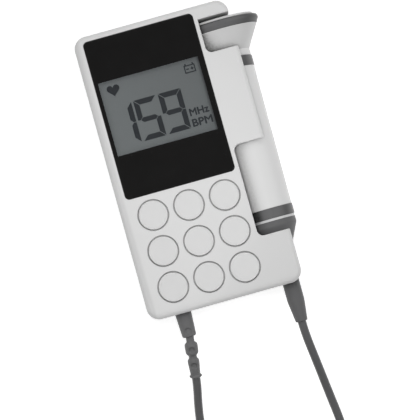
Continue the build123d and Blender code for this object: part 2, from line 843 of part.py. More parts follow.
# The cord's free route: from the boot to the coil, and from the strain relief to the coil.
probe_route = [
    (probe_x, boot_end, probe_z),
    (probe_x, boot_end - cord_lead, probe_z),
    (33.7, -107.5, 10.7),
    (35.0, -118.0, 6.4),
    (36.3, -129.0, 2.9),
    (37.7, -140.5, 1.95),
    (38.2, -152.0, 1.95),
    (34.2, -162.5, 1.95),
    (28.4, -171.0, 1.95),
]


def relief_end():
    """The middle of the strain relief's last face, and the way the cord leaves it."""
    length = (relief_neck_length + relief_first_length + relief_gap_length + relief_second_length
              + relief_collar_length)
    place = relief_place()
    tip = (place * Pos(0, -length, 0)).position
    ahead = (place * Pos(0, -length - 1, 0)).position
    return tip, ahead - tip


def handset_route():
    """The cord from the strain relief to the coil's left side."""
    tip, way = relief_end()
    lead = tip + way * relief_lead
    return [
        tuple(tip),
        tuple(lead),
        (-26.9, -114.5, 5.5),
        (-28.4, -123.0, 3.5),
        (-29.0, -131.5, 2.2),
        (-28.4, -140.5, 1.95),
        (-26.0, -149.5, 2.0),
        (-22.6, -158.5, 2.6),
        (-20.0, -167.0, 4.1),
    ]


def cord_tube(name, route):
    """A tube of straight runs joined by tangent arcs, each as large as its two runs allow."""
    points = [Vector(*point) for point in route]
    radii = []
    for before, here, after in zip(points, points[1:], points[2:]):
        turn = (here - before).get_angle(after - here)
        shorter = min((here - before).length, (after - here).length)
        radii.append(arc_share * shorter / math.tan(math.radians(turn) / 2))
    print(name, "arc radii", [round(radius, 1) for radius in radii])
    path = FilletPolyline(*points, radius=radii)
    start = Plane(origin=points[0], z_dir=points[1] - points[0])
    tube = sweep(start * Circle(cord_radius), path=path)
    expected = math.pi * cord_radius**2 * path.length
    print(name, "length", round(path.length, 1), "volume", round(tube.volume, 1), "expected", round(expected, 1))
    return tube


def cord_coil():
    """The outer shape of the put-away cord: a ring of neat turns lying flat."""
    width = 2 * cord_radius * coil_columns + coil_slack
    height = 2 * cord_radius * coil_layers * coil_nesting
    section = Pos(coil_middle_radius, height / 2) * RectangleRounded(width, height, coil_edge_radius)
    ring = revolve(Plane.XZ * section, axis=Axis.Z)
    return Pos(coil_x, coil_y, 0) * ring


def assembly():
    """Every node by name."""
    body = handset_body() - end_holes()
    gasket, basket, cone = speaker_parts()
    crystals, backing = crystals_and_backing()
    nodes = {
        "front_shell": front_shell(body),
        "rear_shell": rear_shell(body),
        "display_window": display_window(),
        "lcd_panel": lcd_panel(),
        "lcd_holder": lcd_holder(),
        "lcd_connector": lcd_connector(),
        "main_board": main_board(),
        "board_chips": Compound(children=board_chips()),
        "key_mat": key_mat(),
        "battery_cells": Compound(children=cells()),
        "battery_contacts": Compound(children=battery_contacts()),
        "battery_door": battery_door(),
        "casing_screws": Compound(children=casing_screws()),
        "speaker_gasket": gasket,
        "speaker_basket": basket,
        "speaker_cone": cone,
        "headphone_socket": headphone_socket(),
        "cable_relief": cable_relief(),
        "probe_face": probe_face(),
        "head_ring": head_ring(),
        "probe_head": probe_head(),
        "neck_band": probe_ring(neck_base, neck_band_base, band_radius),
        "probe_grip": probe_grip(),
        "rear_band": probe_ring(grip_base, rear_band_base, rear_band_radius),
        "light_ring": probe_ring(rear_band_base, light_ring_base, light_ring_radius),
        "probe_tail": probe_tail(),
        "probe_boot": probe_boot(),
        "probe_crystals": Compound(children=crystals),
        "crystal_backing": backing,
        "probe_board": probe_board(),
        "cord_probe_side": cord_tube("cord_probe_side", probe_route),
        "cord_handset_side": cord_tube("cord_handset_side", handset_route()),
        "cord_coil": cord_coil(),
    }
    for number, (x, y) in enumerate(key_places(), 1):
        nodes[f"key_{number}"] = key_cap(x, y)
    return nodes


for name, shape in assembly().items():
    export_step(shape, f"parts/{name}.step")
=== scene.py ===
# Looks of a hand-held fetal doppler monitor: handset, docked probe and the cord between them
import math

import bpy
import numpy as np
from mathutils import Matrix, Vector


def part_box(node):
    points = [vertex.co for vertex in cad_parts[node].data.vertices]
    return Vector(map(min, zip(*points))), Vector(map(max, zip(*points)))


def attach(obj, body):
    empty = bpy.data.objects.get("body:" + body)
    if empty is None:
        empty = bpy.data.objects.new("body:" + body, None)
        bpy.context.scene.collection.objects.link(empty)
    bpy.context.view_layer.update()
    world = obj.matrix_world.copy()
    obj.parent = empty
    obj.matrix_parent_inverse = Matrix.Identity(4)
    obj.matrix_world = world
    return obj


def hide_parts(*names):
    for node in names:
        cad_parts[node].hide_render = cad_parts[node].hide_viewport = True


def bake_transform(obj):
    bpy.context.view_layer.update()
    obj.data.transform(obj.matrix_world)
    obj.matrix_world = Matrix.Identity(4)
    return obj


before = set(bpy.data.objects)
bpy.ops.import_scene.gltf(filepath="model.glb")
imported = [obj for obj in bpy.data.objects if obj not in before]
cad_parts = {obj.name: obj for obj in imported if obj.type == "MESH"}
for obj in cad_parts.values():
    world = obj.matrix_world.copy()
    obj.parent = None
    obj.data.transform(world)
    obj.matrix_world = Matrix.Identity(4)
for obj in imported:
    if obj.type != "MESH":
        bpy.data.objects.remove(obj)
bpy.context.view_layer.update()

mm = 0.001                  # pieces are worked out in millimetres and put in their meshes in metres
fullTurn = 2 * math.pi
up, along = np.eye(3)[[2, 1]]       # the directions of height and of the handset's length
print("frame:", len(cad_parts), "nodes")


def boxOf(node):
    # lowest and highest corner of a CAD node
    low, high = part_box(node)
    return np.array(low) / mm, np.array(high) / mm


def unit(vector):
    # a vector over its length, or one for each row
    vector = np.asarray(vector, float)
    return vector / np.linalg.norm(vector, axis=-1, keepdims=True)


def profileOf(spots, closed=False, steps=6, hold=0.15, share=0.2, least=0.005):
    # straight runs joined by tangent arcs: an arc begins its radius over the tangent of half the corner's
    # angle from the corner, and its centre is its radius over the sine of that half along the bisector.
    # A point beyond each arc keeps the straight runs flat: hold away, or a share of the run if that is less.
    places = np.array([spot[:2] for spot in spots], float)
    radii = [spot[2] if len(spot) > 2 else 0 for spot in spots]
    line = []
    for here, before, after, radius in zip(places, np.roll(places, 1, 0), np.roll(places, -1, 0), radii):
        if not radius:
            line.append(here)
            continue
        back, ahead = before - here, after - here
        half = math.acos(np.clip(unit(back) @ unit(ahead), -1, 1)) / 2
        reach = radius / math.tan(half)
        centre = here + unit(unit(back) + unit(ahead)) * radius / math.sin(half)
        first, last = here + unit(back) * reach - centre, here + unit(ahead) * reach - centre
        whole = math.atan2(first[0] * last[1] - first[1] * last[0], first @ last)
        turn = whole * np.linspace(0, 1, steps + 1)
        arc = np.stack([first[0] * np.cos(turn) - first[1] * np.sin(turn),
                        first[0] * np.sin(turn) + first[1] * np.cos(turn)], -1) + centre
        slack = [min(hold, share * (np.linalg.norm(side) - reach)) for side in (back, ahead)]
        if slack[0] > least:
            line.append(here + unit(back) * (reach + slack[0]))
        line += list(arc)
        if slack[1] > least:
            line.append(here + unit(ahead) * (reach + slack[1]))
    return np.array(line + line[:1]) if closed else np.array(line)


def divided(line, step, least=0.01):
    # the same line with a point at least every step, measured along it, and none closer than least
    runs = np.linalg.norm(np.diff(line, axis=0), axis=1)
    reach = np.concatenate([[0], np.cumsum(runs)])
    wanted = np.unique(np.concatenate([reach, np.arange(0, reach[-1], step)]).round(4))
    wanted = wanted[np.concatenate([[True], np.diff(wanted) > least])]
    return np.stack([np.interp(wanted, reach, line[:, axis]) for axis in range(line.shape[1])], -1)


def turned(profile, origin, forward=along, upward=up, flatness=1.0, sides=96):
    # one ring for each profile point (wide, far): origin + far * forward + wide * (cos * side + flatness *
    # sin * upward), where side is square to both
    forward = unit(forward)
    side = unit(np.cross(forward, upward))
    upward = np.cross(side, forward)
    angle = np.arange(sides) * fullTurn / sides
    wide, far = profile[:, 0, None, None], profile[:, 1, None, None]
    high = (np.ones(len(profile)) * flatness)[:, None, None]
    return (np.asarray(origin) + far * forward
            + wide * (np.cos(angle)[None, :, None] * side + high * np.sin(angle)[None, :, None] * upward))


def roundedLoop(middle, size, radius, perCorner=10):
    # four quarter circles round the corner centres, anticlockwise
    angle = np.linspace(0, fullTurn / 4, perCorner)[None] + np.arange(4)[:, None] * fullTurn / 4
    half = np.asarray(size) / 2 - radius
    x = middle[0] + half[0] * np.array([1, -1, -1, 1])[:, None] + radius * np.cos(angle)
    y = middle[1] + half[1] * np.array([1, 1, -1, -1])[:, None] + radius * np.sin(angle)
    return np.stack([x.ravel(), y.ravel()], -1)


def slabRings(middle, size, radius, profile, least=0.02):
    # a rounded rectangle carried up a profile of (inset, height)
    return np.stack([
        np.pad(roundedLoop(middle, np.asarray(size) - 2 * inset, max(radius - inset, least)),
               ((0, 0), (0, 1)), constant_values=height)
        for inset, height in profile
    ])


def plateRings(outline, low, high):
    # a flat outline given two heights
    outline = np.asarray(outline, float)
    return np.stack([np.pad(outline, ((0, 0), (0, 1)), constant_values=height) for height in (low, high)])


def tubeRings(path, radius, sides, upward=up):
    # a circle round each path point, square to the path: its side is square to upward too, and its top leans
    # with the slope
    way = unit(np.gradient(path, axis=0))
    side = unit(np.cross(way, upward))
    top = np.cross(side, way)
    angle = np.arange(sides) * fullTurn / sides
    return path[:, None] + radius * (np.cos(angle)[None, :, None] * side[:, None]
                                     + np.sin(angle)[None, :, None] * top[:, None])


def dented(rings, place, radius, depth, inward, outer=0.45):
    # points within radius of a place sink along inward: fully in the middle, and over the outer part by
    # depth * (3 t squared - 2 t cubed), where t runs from 0 at the radius to 1
    share = np.linalg.norm(rings - place, axis=-1, keepdims=True) / radius
    wall = np.clip((1 - share) / outer, 0, 1)
    return rings + wall**2 * (3 - 2 * wall) * depth * unit(inward)


def skin(rings, joined=False):
    # quads between neighbouring rings; a fan round each end ring's middle closes it, unless the last ring
    # meets the first. Faces are turned round where the signed volume is negative: the sum of a sixth of the
    # triple product of every triangle's corners.
    rows, columns = rings.shape[:2]
    row, column = np.arange(rows if joined else rows - 1)[:, None], np.arange(columns)[None]
    beyond, beside = (row + 1) % rows, (column + 1) % columns
    quads = np.stack([row * columns + column, row * columns + beside, beyond * columns + beside,
                      beyond * columns + column], -1).reshape(-1, 4)
    points, fans = rings.reshape(-1, 3), np.zeros((0, 3), int)
    if not joined:
        count = len(points)
        points = np.vstack([points, rings[0].mean(0), rings[-1].mean(0)])
        column, beside = column[0], beside[0]
        last = (rows - 1) * columns
        fans = np.vstack([np.stack([np.full(columns, count), beside, column], -1),
                          np.stack([np.full(columns, count + 1), last + column, last + beside], -1)])
    thirds = np.vstack([quads[:, :3], quads[:, [0, 2, 3]], fans])
    a, b, c = points[thirds[:, 0]], points[thirds[:, 1]], points[thirds[:, 2]]
    if np.einsum("ij,ij->", a, np.cross(b, c)) < 0:
        quads, fans = quads[:, ::-1], fans[:, ::-1]
    return points, quads, fans


def meshPoints(mesh):
    # a mesh's points, one in each row
    points = np.zeros(len(mesh.vertices) * 3)
    mesh.vertices.foreach_get("co", points)
    return points.reshape(-1, 3)


def addPiece(name, skins, finish, body, stands=(), sharp=35):
    # one mesh of one or more closed skins, riding on a body
    points, faces, offset = [], [], 0
    for spots, quads, fans in skins:
        points.append(spots)
        faces += (quads + offset).tolist() + (fans + offset).tolist()
        offset += len(spots)
    mesh = bpy.data.meshes.new(name)
    mesh.from_pydata(np.vstack(points) * mm, [], faces)
    mesh.shade_smooth()
    mesh.set_sharp_from_angle(angle=math.radians(sharp))
    mesh.materials.append(finish)
    piece = bpy.data.objects.new(name, mesh)
    bpy.context.scene.collection.objects.link(piece)
    if body:
        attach(piece, body)
    if stands:
        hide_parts(*stands)
    return piece


studio = {
    "aim": (3.82, -26.27, 27.0), "distance": 750.5, "span": 200.2, "sensor": 36.0,     # in mm
    "clip": (0.05, 20), "tilt": 1.94, "lean": -0.54, "roll": 15.63,                    # in m, and in degrees
    "high": 0.72, "low": 0.0, "highFrom": 0.85, "brightWay": (0.15, 0.25, 0.0),
    "overhead": 0.03, "overheadStart": 0.94, "overheadEnd": 0.98,
    "keyPower": 1.6, "keyPlace": (0.15, 1.1, 1.3), "keySize": 0.5,                     # lights and floor in m
    "nearPower": 0.27, "nearPlace": (0.006, -0.006, 0.25), "nearSize": 0.10,
    "floorSize": 6.0, "floorColour": (0.88, 0.88, 0.88, 1), "floorRough": 0.9, "floorGlow": 0.62,
}


def addCamera():
    # looks down on the aim from a little below and left of it; the view's top leans to the right by the roll
    tilt, lean, roll = (math.radians(studio[key]) for key in ("tilt", "lean", "roll"))
    back = np.array([math.sin(lean) * math.cos(tilt), -math.sin(tilt), math.cos(lean) * math.cos(tilt)])
    right = unit(np.cross([math.sin(roll), math.cos(roll), 0], back))
    place = np.eye(4)
    place[:3] = np.stack([right, np.cross(back, right), back,
                          (np.array(studio["aim"]) + studio["distance"] * back) * mm], -1)
    lens = bpy.data.cameras.new("camera")
    lens.sensor_width = studio["sensor"]
    lens.lens = studio["sensor"] * studio["distance"] / studio["span"]
    lens.clip_start, lens.clip_end = studio["clip"]
    camera = bpy.data.objects.new("camera", lens)
    bpy.context.scene.collection.objects.link(camera)
    camera.matrix_world = Matrix(place)
    bpy.context.scene.camera = camera


def addSoftbox(name, place, power, size):
    # a round light turned to the aim, unseen by the camera and in reflections
    light = bpy.data.lights.new(name, "AREA")
    light.shape, light.size, light.energy = "DISK", size, power
    box = bpy.data.objects.new(name, light)
    bpy.context.scene.collection.objects.link(box)
    box.location = place
    back = unit(np.array(place) - np.array(studio["aim"]) * mm)
    box.rotation_euler = (math.acos(back[2]), 0, math.atan2(back[1], back[0]) + fullTurn / 4)
    box.visible_camera = box.visible_glossy = False


def addNode(tree, kind, settings=None, **inputs):
    # a shader node; inputs are numbers, colours or other nodes' outputs, and i0, i1 ... is a socket's place
    made = tree.nodes.new(kind)
    for key, value in (settings or {}).items():
        setattr(made, key, value)
    for key, value in inputs.items():
        socket = made.inputs[int(key[1:])] if key[1:].isdigit() else made.inputs[key.replace("_", " ")]
        if isinstance(value, bpy.types.NodeSocket):
            tree.links.new(value, socket)
        else:
            socket.default_value = value
    return made


def feed(tree, sockets, values):
    # links each value to the socket of its name
    for key, value in values.items():
        tree.links.new(value, sockets[key])


def reckon(tree, operation, first, second=0.0, clamp=False):
    # one step of arithmetic on two values
    return addNode(tree, "ShaderNodeMath", {"operation": operation, "use_clamp": clamp},
                   i0=first, i1=second).outputs[0]


def product(tree, first, second, clamp=False):
    return reckon(tree, "MULTIPLY", first, second, clamp)


def plus(tree, first, second, clamp=False):
    return reckon(tree, "ADD", first, second, clamp)


def dot(tree, vector, way):
    return addNode(tree, "ShaderNodeVectorMath", {"operation": "DOT_PRODUCT"},
                   i0=vector, i1=way).outputs["Value"]


def ramp(tree, value, first, last, low=0.0, high=1.0, smooth=True):
    # low where the value is first, high where it is last, and level beyond both
    return addNode(tree, "ShaderNodeMapRange", {"interpolation_type": "SMOOTHSTEP" if smooth else "LINEAR"},
                   Value=value, From_Min=first, From_Max=last, To_Min=low, To_Max=high).outputs["Result"]


def noise(tree, place, scale, detail, **more):
    made = addNode(tree, "ShaderNodeTexNoise", Vector=place, Scale=scale, Detail=detail, **more)
    return made.outputs["Fac"]


def mixed(tree, share, first, second):
    # from the first colour to the second; each is three numbers or a node's output
    first, second = (value if isinstance(value, bpy.types.NodeSocket) else (*value, 1)
                     for value in (first, second))
    return addNode(tree, "ShaderNodeMix", {"data_type": "RGBA"}, i0=share, i6=first, i7=second).outputs[2]


def addDome():
    # a white dome, brighter high up and towards the display end's right, with a soft dark round straight
    # above, so that polished flats facing up stay dark
    world = bpy.data.worlds.new("dome")
    bpy.context.scene.world = world
    world.use_nodes = True
    tree = world.node_tree
    tree.nodes.clear()
    way = addNode(tree, "ShaderNodeTexCoord").outputs["Generated"]
    height = addNode(tree, "ShaderNodeSeparateXYZ", Vector=way).outputs["Z"]
    sky = ramp(tree, height, 0.0, studio["highFrom"], studio["low"], studio["high"])
    sky = product(tree, sky, plus(tree, dot(tree, way, studio["brightWay"]), 1.0))
    dark = ramp(tree, height, studio["overheadStart"], studio["overheadEnd"], 1.0, studio["overhead"])
    glow = addNode(tree, "ShaderNodeBackground", Color=(1, 1, 1, 1), Strength=product(tree, sky, dark))
    addNode(tree, "ShaderNodeOutputWorld", Surface=glow.outputs["Background"])


def addFloor():
    # a pale floor under everything, with a glow of its own that lifts it to the surroundings
    half = studio["floorSize"] / 2
    mesh = bpy.data.meshes.new("floor")
    corners = [(-half, -half, 0), (half, -half, 0), (half, half, 0), (-half, half, 0)]
    mesh.from_pydata(corners, [], [(0, 1, 2, 3)])
    material = bpy.data.materials.new("floor")
    material.use_nodes = True
    shader = material.node_tree.nodes["Principled BSDF"].inputs
    shader["Base Color"].default_value = studio["floorColour"]
    shader["Roughness"].default_value = studio["floorRough"]
    shader["Emission Color"].default_value = (1, 1, 1, 1)
    shader["Emission Strength"].default_value = studio["floorGlow"]
    mesh.materials.append(material)
    floor = bpy.data.objects.new("floor", mesh)
    bpy.context.scene.collection.objects.link(floor)


addCamera()
addDome()
addSoftbox("keyLight", studio["keyPlace"], studio["keyPower"], studio["keySize"])
addSoftbox("nearLight", studio["nearPlace"], studio["nearPower"], studio["nearSize"])
addFloor()
bpy.context.scene.view_settings.view_transform = "Standard"
print("studio: camera, dome, lights and floor")


wear = {
    "fine": 0.7, "coarse": 0.3, "coarseRate": 0.35,                             # the mould grain's two noises
    "broad": 0.65, "streaks": 0.35, "streakRate": 5.0, "unrubbed": 0.42, "rubbed": 0.62,
    "open": 0.95, "closed": 0.35, "speckRate": 900.0, "speckLift": 0.35,        # shares of open space
    "level": 0.995, "leaning": 0.75, "sideOn": -0.05, "facingDown": -0.2,       # shares of a surface's normal
    # painted shade: the colour that the shades on slopes, flares and the casing's sides mix towards
    "paintedShade": (0.05, 0.05, 0.05), "dustRough": 0.2,
}
# the casing's painted shades by place: the direction, where each begins and is full in mm from the middle,
# its share
paintedRimShades = (((-1, -0.008, 0), 33.8, 35.8, 1.0), ((0, -1, 0), 66.2, 68.2, 0.4),
             ((0.8, -0.6, 0), 25.0, 55.0, 1.0))
# painted shade that greys a finish a little, where the finish gives its share: the group and the mask of each
paintedShadeMasks = {"edge": ("slope", "Slope"), "under": ("slope", "Under"),
              "rim": ("rim", "PaintedRimShade"), "far": ("rim", "PaintedFalloff")}


def newGroup(name, inputs, outputs):
    # a node group with named number outputs; its inputs are numbers with their usual value, or points, given
    # as None. Returns its tree, and its inputs and outputs by name.
    tree = bpy.data.node_groups.new(name, "ShaderNodeTree")
    for label, value in inputs.items():
        kind = "NodeSocketVector" if value is None else "NodeSocketFloat"
        socket = tree.interface.new_socket(label, in_out="INPUT", socket_type=kind)
        if value is not None:
            socket.default_value = value
    for label in outputs:
        tree.interface.new_socket(label, in_out="OUTPUT", socket_type="NodeSocketFloat")
    return tree, tree.nodes.new("NodeGroupInput").outputs, tree.nodes.new("NodeGroupOutput").inputs


def grainGroup():
    # spark-eroded mould grain: fine noise with a coarser one over it
    tree, given, out = newGroup("mouldGrain", {"Place": None, "Size": 0.3}, ["Height"])
    rate = reckon(tree, "DIVIDE", 1.0, product(tree, given["Size"], mm))
    fine = noise(tree, given["Place"], rate, 2.0, Roughness=0.6)
    coarse = noise(tree, given["Place"], product(tree, rate, wear["coarseRate"]), 1.0)
    both = plus(tree, product(tree, fine, wear["fine"]), product(tree, coarse, wear["coarse"]))
    feed(tree, out, {"Height": both})
    return tree


def handlingGroup():
    # faint clouds where hands have rubbed the surface, from two sizes of noise
    tree, given, out = newGroup("handling", {"Place": None, "Size": 18.0}, ["Rubbed", "Cloud"])
    rate = reckon(tree, "DIVIDE", 1.0, product(tree, given["Size"], mm))
    broad = noise(tree, given["Place"], rate, 4.0, Roughness=0.55)
    streaks = noise(tree, given["Place"], product(tree, rate, wear["streakRate"]), 3.0, Distortion=1.2)
    both = plus(tree, product(tree, broad, wear["broad"]), product(tree, streaks, wear["streaks"]))
    feed(tree, out, {"Rubbed": ramp(tree, both, wear["unrubbed"], wear["rubbed"]), "Cloud": broad})
    return tree


def dustAndShadeGroup():
    # dust, dullness and painted shade where surfaces meet: the shaded share of near space, broken up by noise
    tree, given, out = newGroup("cornerDustAndShade", {"Place": None, "Reach": 1.5}, ["DustAndShade"])
    near = addNode(tree, "ShaderNodeAmbientOcclusion", {"samples": 8},
                   Distance=product(tree, given["Reach"], mm)).outputs["AO"]
    shaded = ramp(tree, near, wear["open"], wear["closed"])
    speck = plus(tree, noise(tree, given["Place"], wear["speckRate"], 3.0), wear["speckLift"])
    feed(tree, out, {"DustAndShade": product(tree, shaded, speck, clamp=True)})
    return tree


def paintedRimShadeGroup():
    # painted shade: the first mask is 1 along the casing's left side, and a share of that along its lower
    # end; the second, a painted falloff of light, grows from the middle towards the lower end's right corner
    tree, given, out = newGroup("rim", {"Place": None}, ["PaintedRimShade", "PaintedFalloff"])
    side, end, far = (ramp(tree, dot(tree, given["Place"], way), first * mm, last * mm, high=share)
                      for way, first, last, share in paintedRimShades)
    feed(tree, out, {"PaintedRimShade": reckon(tree, "MAXIMUM", side, end), "PaintedFalloff": far})
    return tree


def slopeGroup():
    # masks for painted shade: "Slope" is 0 on surfaces that face straight up or down and 1 on those that lean
    # by more than about 40 degrees; "Under" is 1 on a flare's outside, where it faces the lower end
    tree, _, out = newGroup("slope", {}, ["Slope", "Under"])
    normal = addNode(tree, "ShaderNodeTexCoord").outputs["Normal"]
    facing = addNode(tree, "ShaderNodeSeparateXYZ", Vector=normal).outputs
    height = reckon(tree, "ABSOLUTE", facing["Z"])
    feed(tree, out, {"Slope": ramp(tree, height, wear["level"], wear["leaning"]),
                     "Under": ramp(tree, facing["Y"], wear["sideOn"], wear["facingDown"])})
    return tree


groups = {"grain": grainGroup(), "handling": handlingGroup(), "dustAndShade": dustAndShadeGroup(), "slope": slopeGroup(),
          "rim": paintedRimShadeGroup()}


def useGroup(tree, group, **inputs):
    return addNode(tree, "ShaderNodeGroup", {"node_tree": groups[group]}, **inputs).outputs


def newMaterial(name, roughness=0.5, metallic=0.0, coat=0.0, specular=0.5):
    # returns the material, its tree, its shader's inputs and the Object coordinates
    material = bpy.data.materials.new(name)
    material.use_nodes = True
    tree = material.node_tree
    shader = tree.nodes["Principled BSDF"].inputs
    for key, value in {"Roughness": roughness, "Metallic": metallic, "Coat Weight": coat,
                       "Coat Roughness": 0.1, "Specular IOR Level": specular}.items():
        shader[key].default_value = value
    return material, tree, shader, addNode(tree, "ShaderNodeTexCoord").outputs["Object"]


def addBump(tree, shader, height, depth):
    bump = addNode(tree, "ShaderNodeBump", Height=height, Distance=depth * mm, Strength=1.0)
    feed(tree, shader, {"Normal": bump.outputs["Normal"]})


def addGrain(tree, shader, place, size, depth):
    # the mould grain as bump, with its size and depth in mm
    addBump(tree, shader, useGroup(tree, "grain", Place=place, Size=size)["Height"], depth)


# colour and its cloud; roughness and how much rubbing changes it; size and depth of the grain in mm; the
# colour of corners and nooks, its share and its reach in mm: dust where it is lighter than the finish,
# painted shade in recesses and along walls where it is darker. Edge, under, rim and far are shares of painted
# shade. Each finish gives what differs from the plain one.
plainFinish = {"rough": 0.5, "rub": -0.10, "grain": 0.3, "depth": 0.01, "dustAndShadeShare": 0.3, "reach": 1.0,
               "specular": 0.5}
finishes = {
    "casing": {"colour": (0.680, 0.680, 0.680), "cloud": (0.662, 0.662, 0.660), "rough": 0.46, "grain": 0.32,
               "depth": 0.012, "dustAndShade": (0.20, 0.198, 0.195), "dustAndShadeShare": 0.7, "reach": 3.0,
               "rim": 0.13, "far": 0.09},
    "probe": {"colour": (0.682, 0.682, 0.681), "cloud": (0.664, 0.664, 0.662), "rough": 0.40, "depth": 0.008,
              "dustAndShade": (0.36, 0.358, 0.355), "dustAndShadeShare": 0.5, "reach": 9.0},
    "head": {"colour": (0.690, 0.690, 0.689), "cloud": (0.672, 0.672, 0.670), "rough": 0.42, "depth": 0.008,
             "dustAndShade": (0.14, 0.14, 0.137), "dustAndShadeShare": 0.9, "reach": 9.0, "under": 0.20},
    "key": {"colour": (0.652, 0.652, 0.651), "cloud": (0.638, 0.638, 0.636), "rough": 0.42, "rub": -0.12,
            "grain": 0.28, "depth": 0.008, "dustAndShade": (0.45, 0.445, 0.435), "dustAndShadeShare": 0.35, "reach": 0.8},
    "rubber": {"colour": (0.125, 0.125, 0.127), "cloud": (0.105, 0.105, 0.107), "rough": 0.62, "rub": -0.14,
               "grain": 0.25, "depth": 0.02, "dustAndShade": (0.03, 0.03, 0.03), "dustAndShadeShare": 0.75, "reach": 1.6,
               "specular": 0.4},
    "relief": {"colour": (0.148, 0.148, 0.150), "cloud": (0.128, 0.128, 0.130), "rough": 0.62, "rub": -0.14,
               "grain": 0.25, "depth": 0.02, "dustAndShade": (0.03, 0.03, 0.03), "dustAndShadeShare": 0.65, "reach": 1.6,
               "specular": 0.4},
    "band": {"colour": (0.128, 0.128, 0.130), "cloud": (0.114, 0.114, 0.116), "rough": 0.42, "grain": 0.22,
             "depth": 0.012, "dustAndShade": (0.012, 0.012, 0.012), "dustAndShadeShare": 0.9, "reach": 6.0, "specular": 0.35,
             "edge": 0.5},
    "lightRing": {"colour": (0.60, 0.60, 0.605), "cloud": (0.56, 0.56, 0.565), "rough": 0.28, "rub": -0.05,
                  "grain": 0.4, "depth": 0.004, "dustAndShade": (0.15, 0.15, 0.148), "dustAndShadeShare": 0.5, "reach": 4.0},
    "jacket": {"colour": (0.102, 0.102, 0.104), "cloud": (0.088, 0.088, 0.09), "rub": -0.12, "grain": 0.4,
               "depth": 0.02, "dustAndShade": (0.22, 0.21, 0.20), "dustAndShadeShare": 0.2, "reach": 0.8},
    "tie": {"colour": (0.02, 0.02, 0.021), "cloud": (0.03, 0.03, 0.03), "rough": 0.75, "rub": 0.05,
            "grain": 0.35, "depth": 0.08, "dustAndShade": (0.15, 0.14, 0.13), "reach": 0.6},
    "inner": {"colour": (0.55, 0.55, 0.53), "cloud": (0.50, 0.50, 0.48), "rub": -0.05, "grain": 0.5,
              "dustAndShade": (0.4, 0.38, 0.35)},
    "chip": {"colour": (0.018, 0.018, 0.019), "cloud": (0.03, 0.03, 0.03), "rough": 0.55, "rub": -0.05,
             "grain": 0.2, "dustAndShade": (0.12, 0.11, 0.1), "reach": 0.6},
    "silicone": {"colour": (0.50, 0.51, 0.52), "cloud": (0.45, 0.46, 0.47), "rough": 0.6, "grain": 0.5,
                 "dustAndShade": (0.35, 0.33, 0.3), "dustAndShadeShare": 0.4},
    "film": {"colour": (0.03, 0.03, 0.032), "cloud": (0.05, 0.05, 0.052), "rough": 0.6, "depth": 0.03,
             "dustAndShade": (0.15, 0.14, 0.13)},
    "ceramic": {"colour": (0.62, 0.55, 0.42), "cloud": (0.55, 0.48, 0.36), "rough": 0.55, "grain": 0.15,
                "depth": 0.008, "dustAndShade": (0.4, 0.36, 0.3), "dustAndShadeShare": 0.2, "reach": 0.6},
    "resin": {"colour": (0.06, 0.035, 0.02), "cloud": (0.09, 0.05, 0.03), "rough": 0.4, "grain": 0.6,
              "depth": 0.02, "dustAndShade": (0.15, 0.12, 0.1), "dustAndShadeShare": 0.2, "reach": 0.8},
}


def mouldedMaterial(name, look):
    # clouds of handling, the finish's painted shades, and dust and painted shade in the corners; on a flare
    # these stay on its outside
    look = {**plainFinish, **look}
    material, tree, shader, place = newMaterial(name, specular=look["specular"])
    hands = useGroup(tree, "handling", Place=place)
    dustAndShade = useGroup(tree, "dustAndShade", Place=place, Reach=look["reach"])["DustAndShade"]
    colour = mixed(tree, hands["Cloud"], look["colour"], look["cloud"])
    for key, (group, mask) in paintedShadeMasks.items():
        if key not in look:
            continue
        given = {"Place": place} if group == "rim" else {}
        shade = useGroup(tree, group, **given)[mask]
        colour = mixed(tree, product(tree, shade, look[key]), colour, wear["paintedShade"])
        if key == "under":
            dustAndShade = product(tree, dustAndShade, shade)
    rough = plus(tree, product(tree, hands["Rubbed"], look["rub"]), look["rough"])
    feed(tree, shader, {
        "Base Color": mixed(tree, product(tree, dustAndShade, look["dustAndShadeShare"]), colour, look["dustAndShade"]),
        "Roughness": plus(tree, rough, product(tree, dustAndShade, wear["dustRough"]), clamp=True),
    })
    addGrain(tree, shader, place, look["grain"], look["depth"])
    return material


materials = {name: mouldedMaterial(name + "Finish", look) for name, look in finishes.items()}
tarnish = {"reach": 0.6, "shade": 0.45, "share": 0.8, "hands": 4.0, "rough": 0.25, "grain": 0.12,
           "depth": 0.003}


def metalMaterial(name, colour, roughness):
    # plated metal: duller in clouds, and slightly tarnished in the corners
    material, tree, shader, place = newMaterial(name, metallic=1.0)
    dustAndShade = useGroup(tree, "dustAndShade", Place=place, Reach=tarnish["reach"])["DustAndShade"]
    cloud = useGroup(tree, "handling", Place=place, Size=tarnish["hands"])["Cloud"]
    tarnished = [tarnish["shade"] * part for part in colour]
    feed(tree, shader, {
        "Base Color": mixed(tree, product(tree, dustAndShade, tarnish["share"]), colour, tarnished),
        "Roughness": plus(tree, product(tree, cloud, tarnish["rough"]), roughness),
    })
    addGrain(tree, shader, place, tarnish["grain"], tarnish["depth"])
    return material


materials["steel"] = metalMaterial("platedSteel", (0.62, 0.61, 0.59), 0.22)
materials["zinc"] = metalMaterial("zincFrame", (0.42, 0.42, 0.43), 0.35)
board = {
    "runs": ((0.37, 0.0), (0.61, fullTurn / 4)),            # how far each set of tracks is shifted and turned
    "gap": 0.22, "trackLength": 11.0, "trackPitch": 2.1, "padRate": 260.0, "padEdge": (0.16, 0.13),
    "resist": (0.012, 0.075, 0.03), "track": (0.03, 0.16, 0.06), "pad": (0.55, 0.5, 0.38), "depth": 0.03,
}


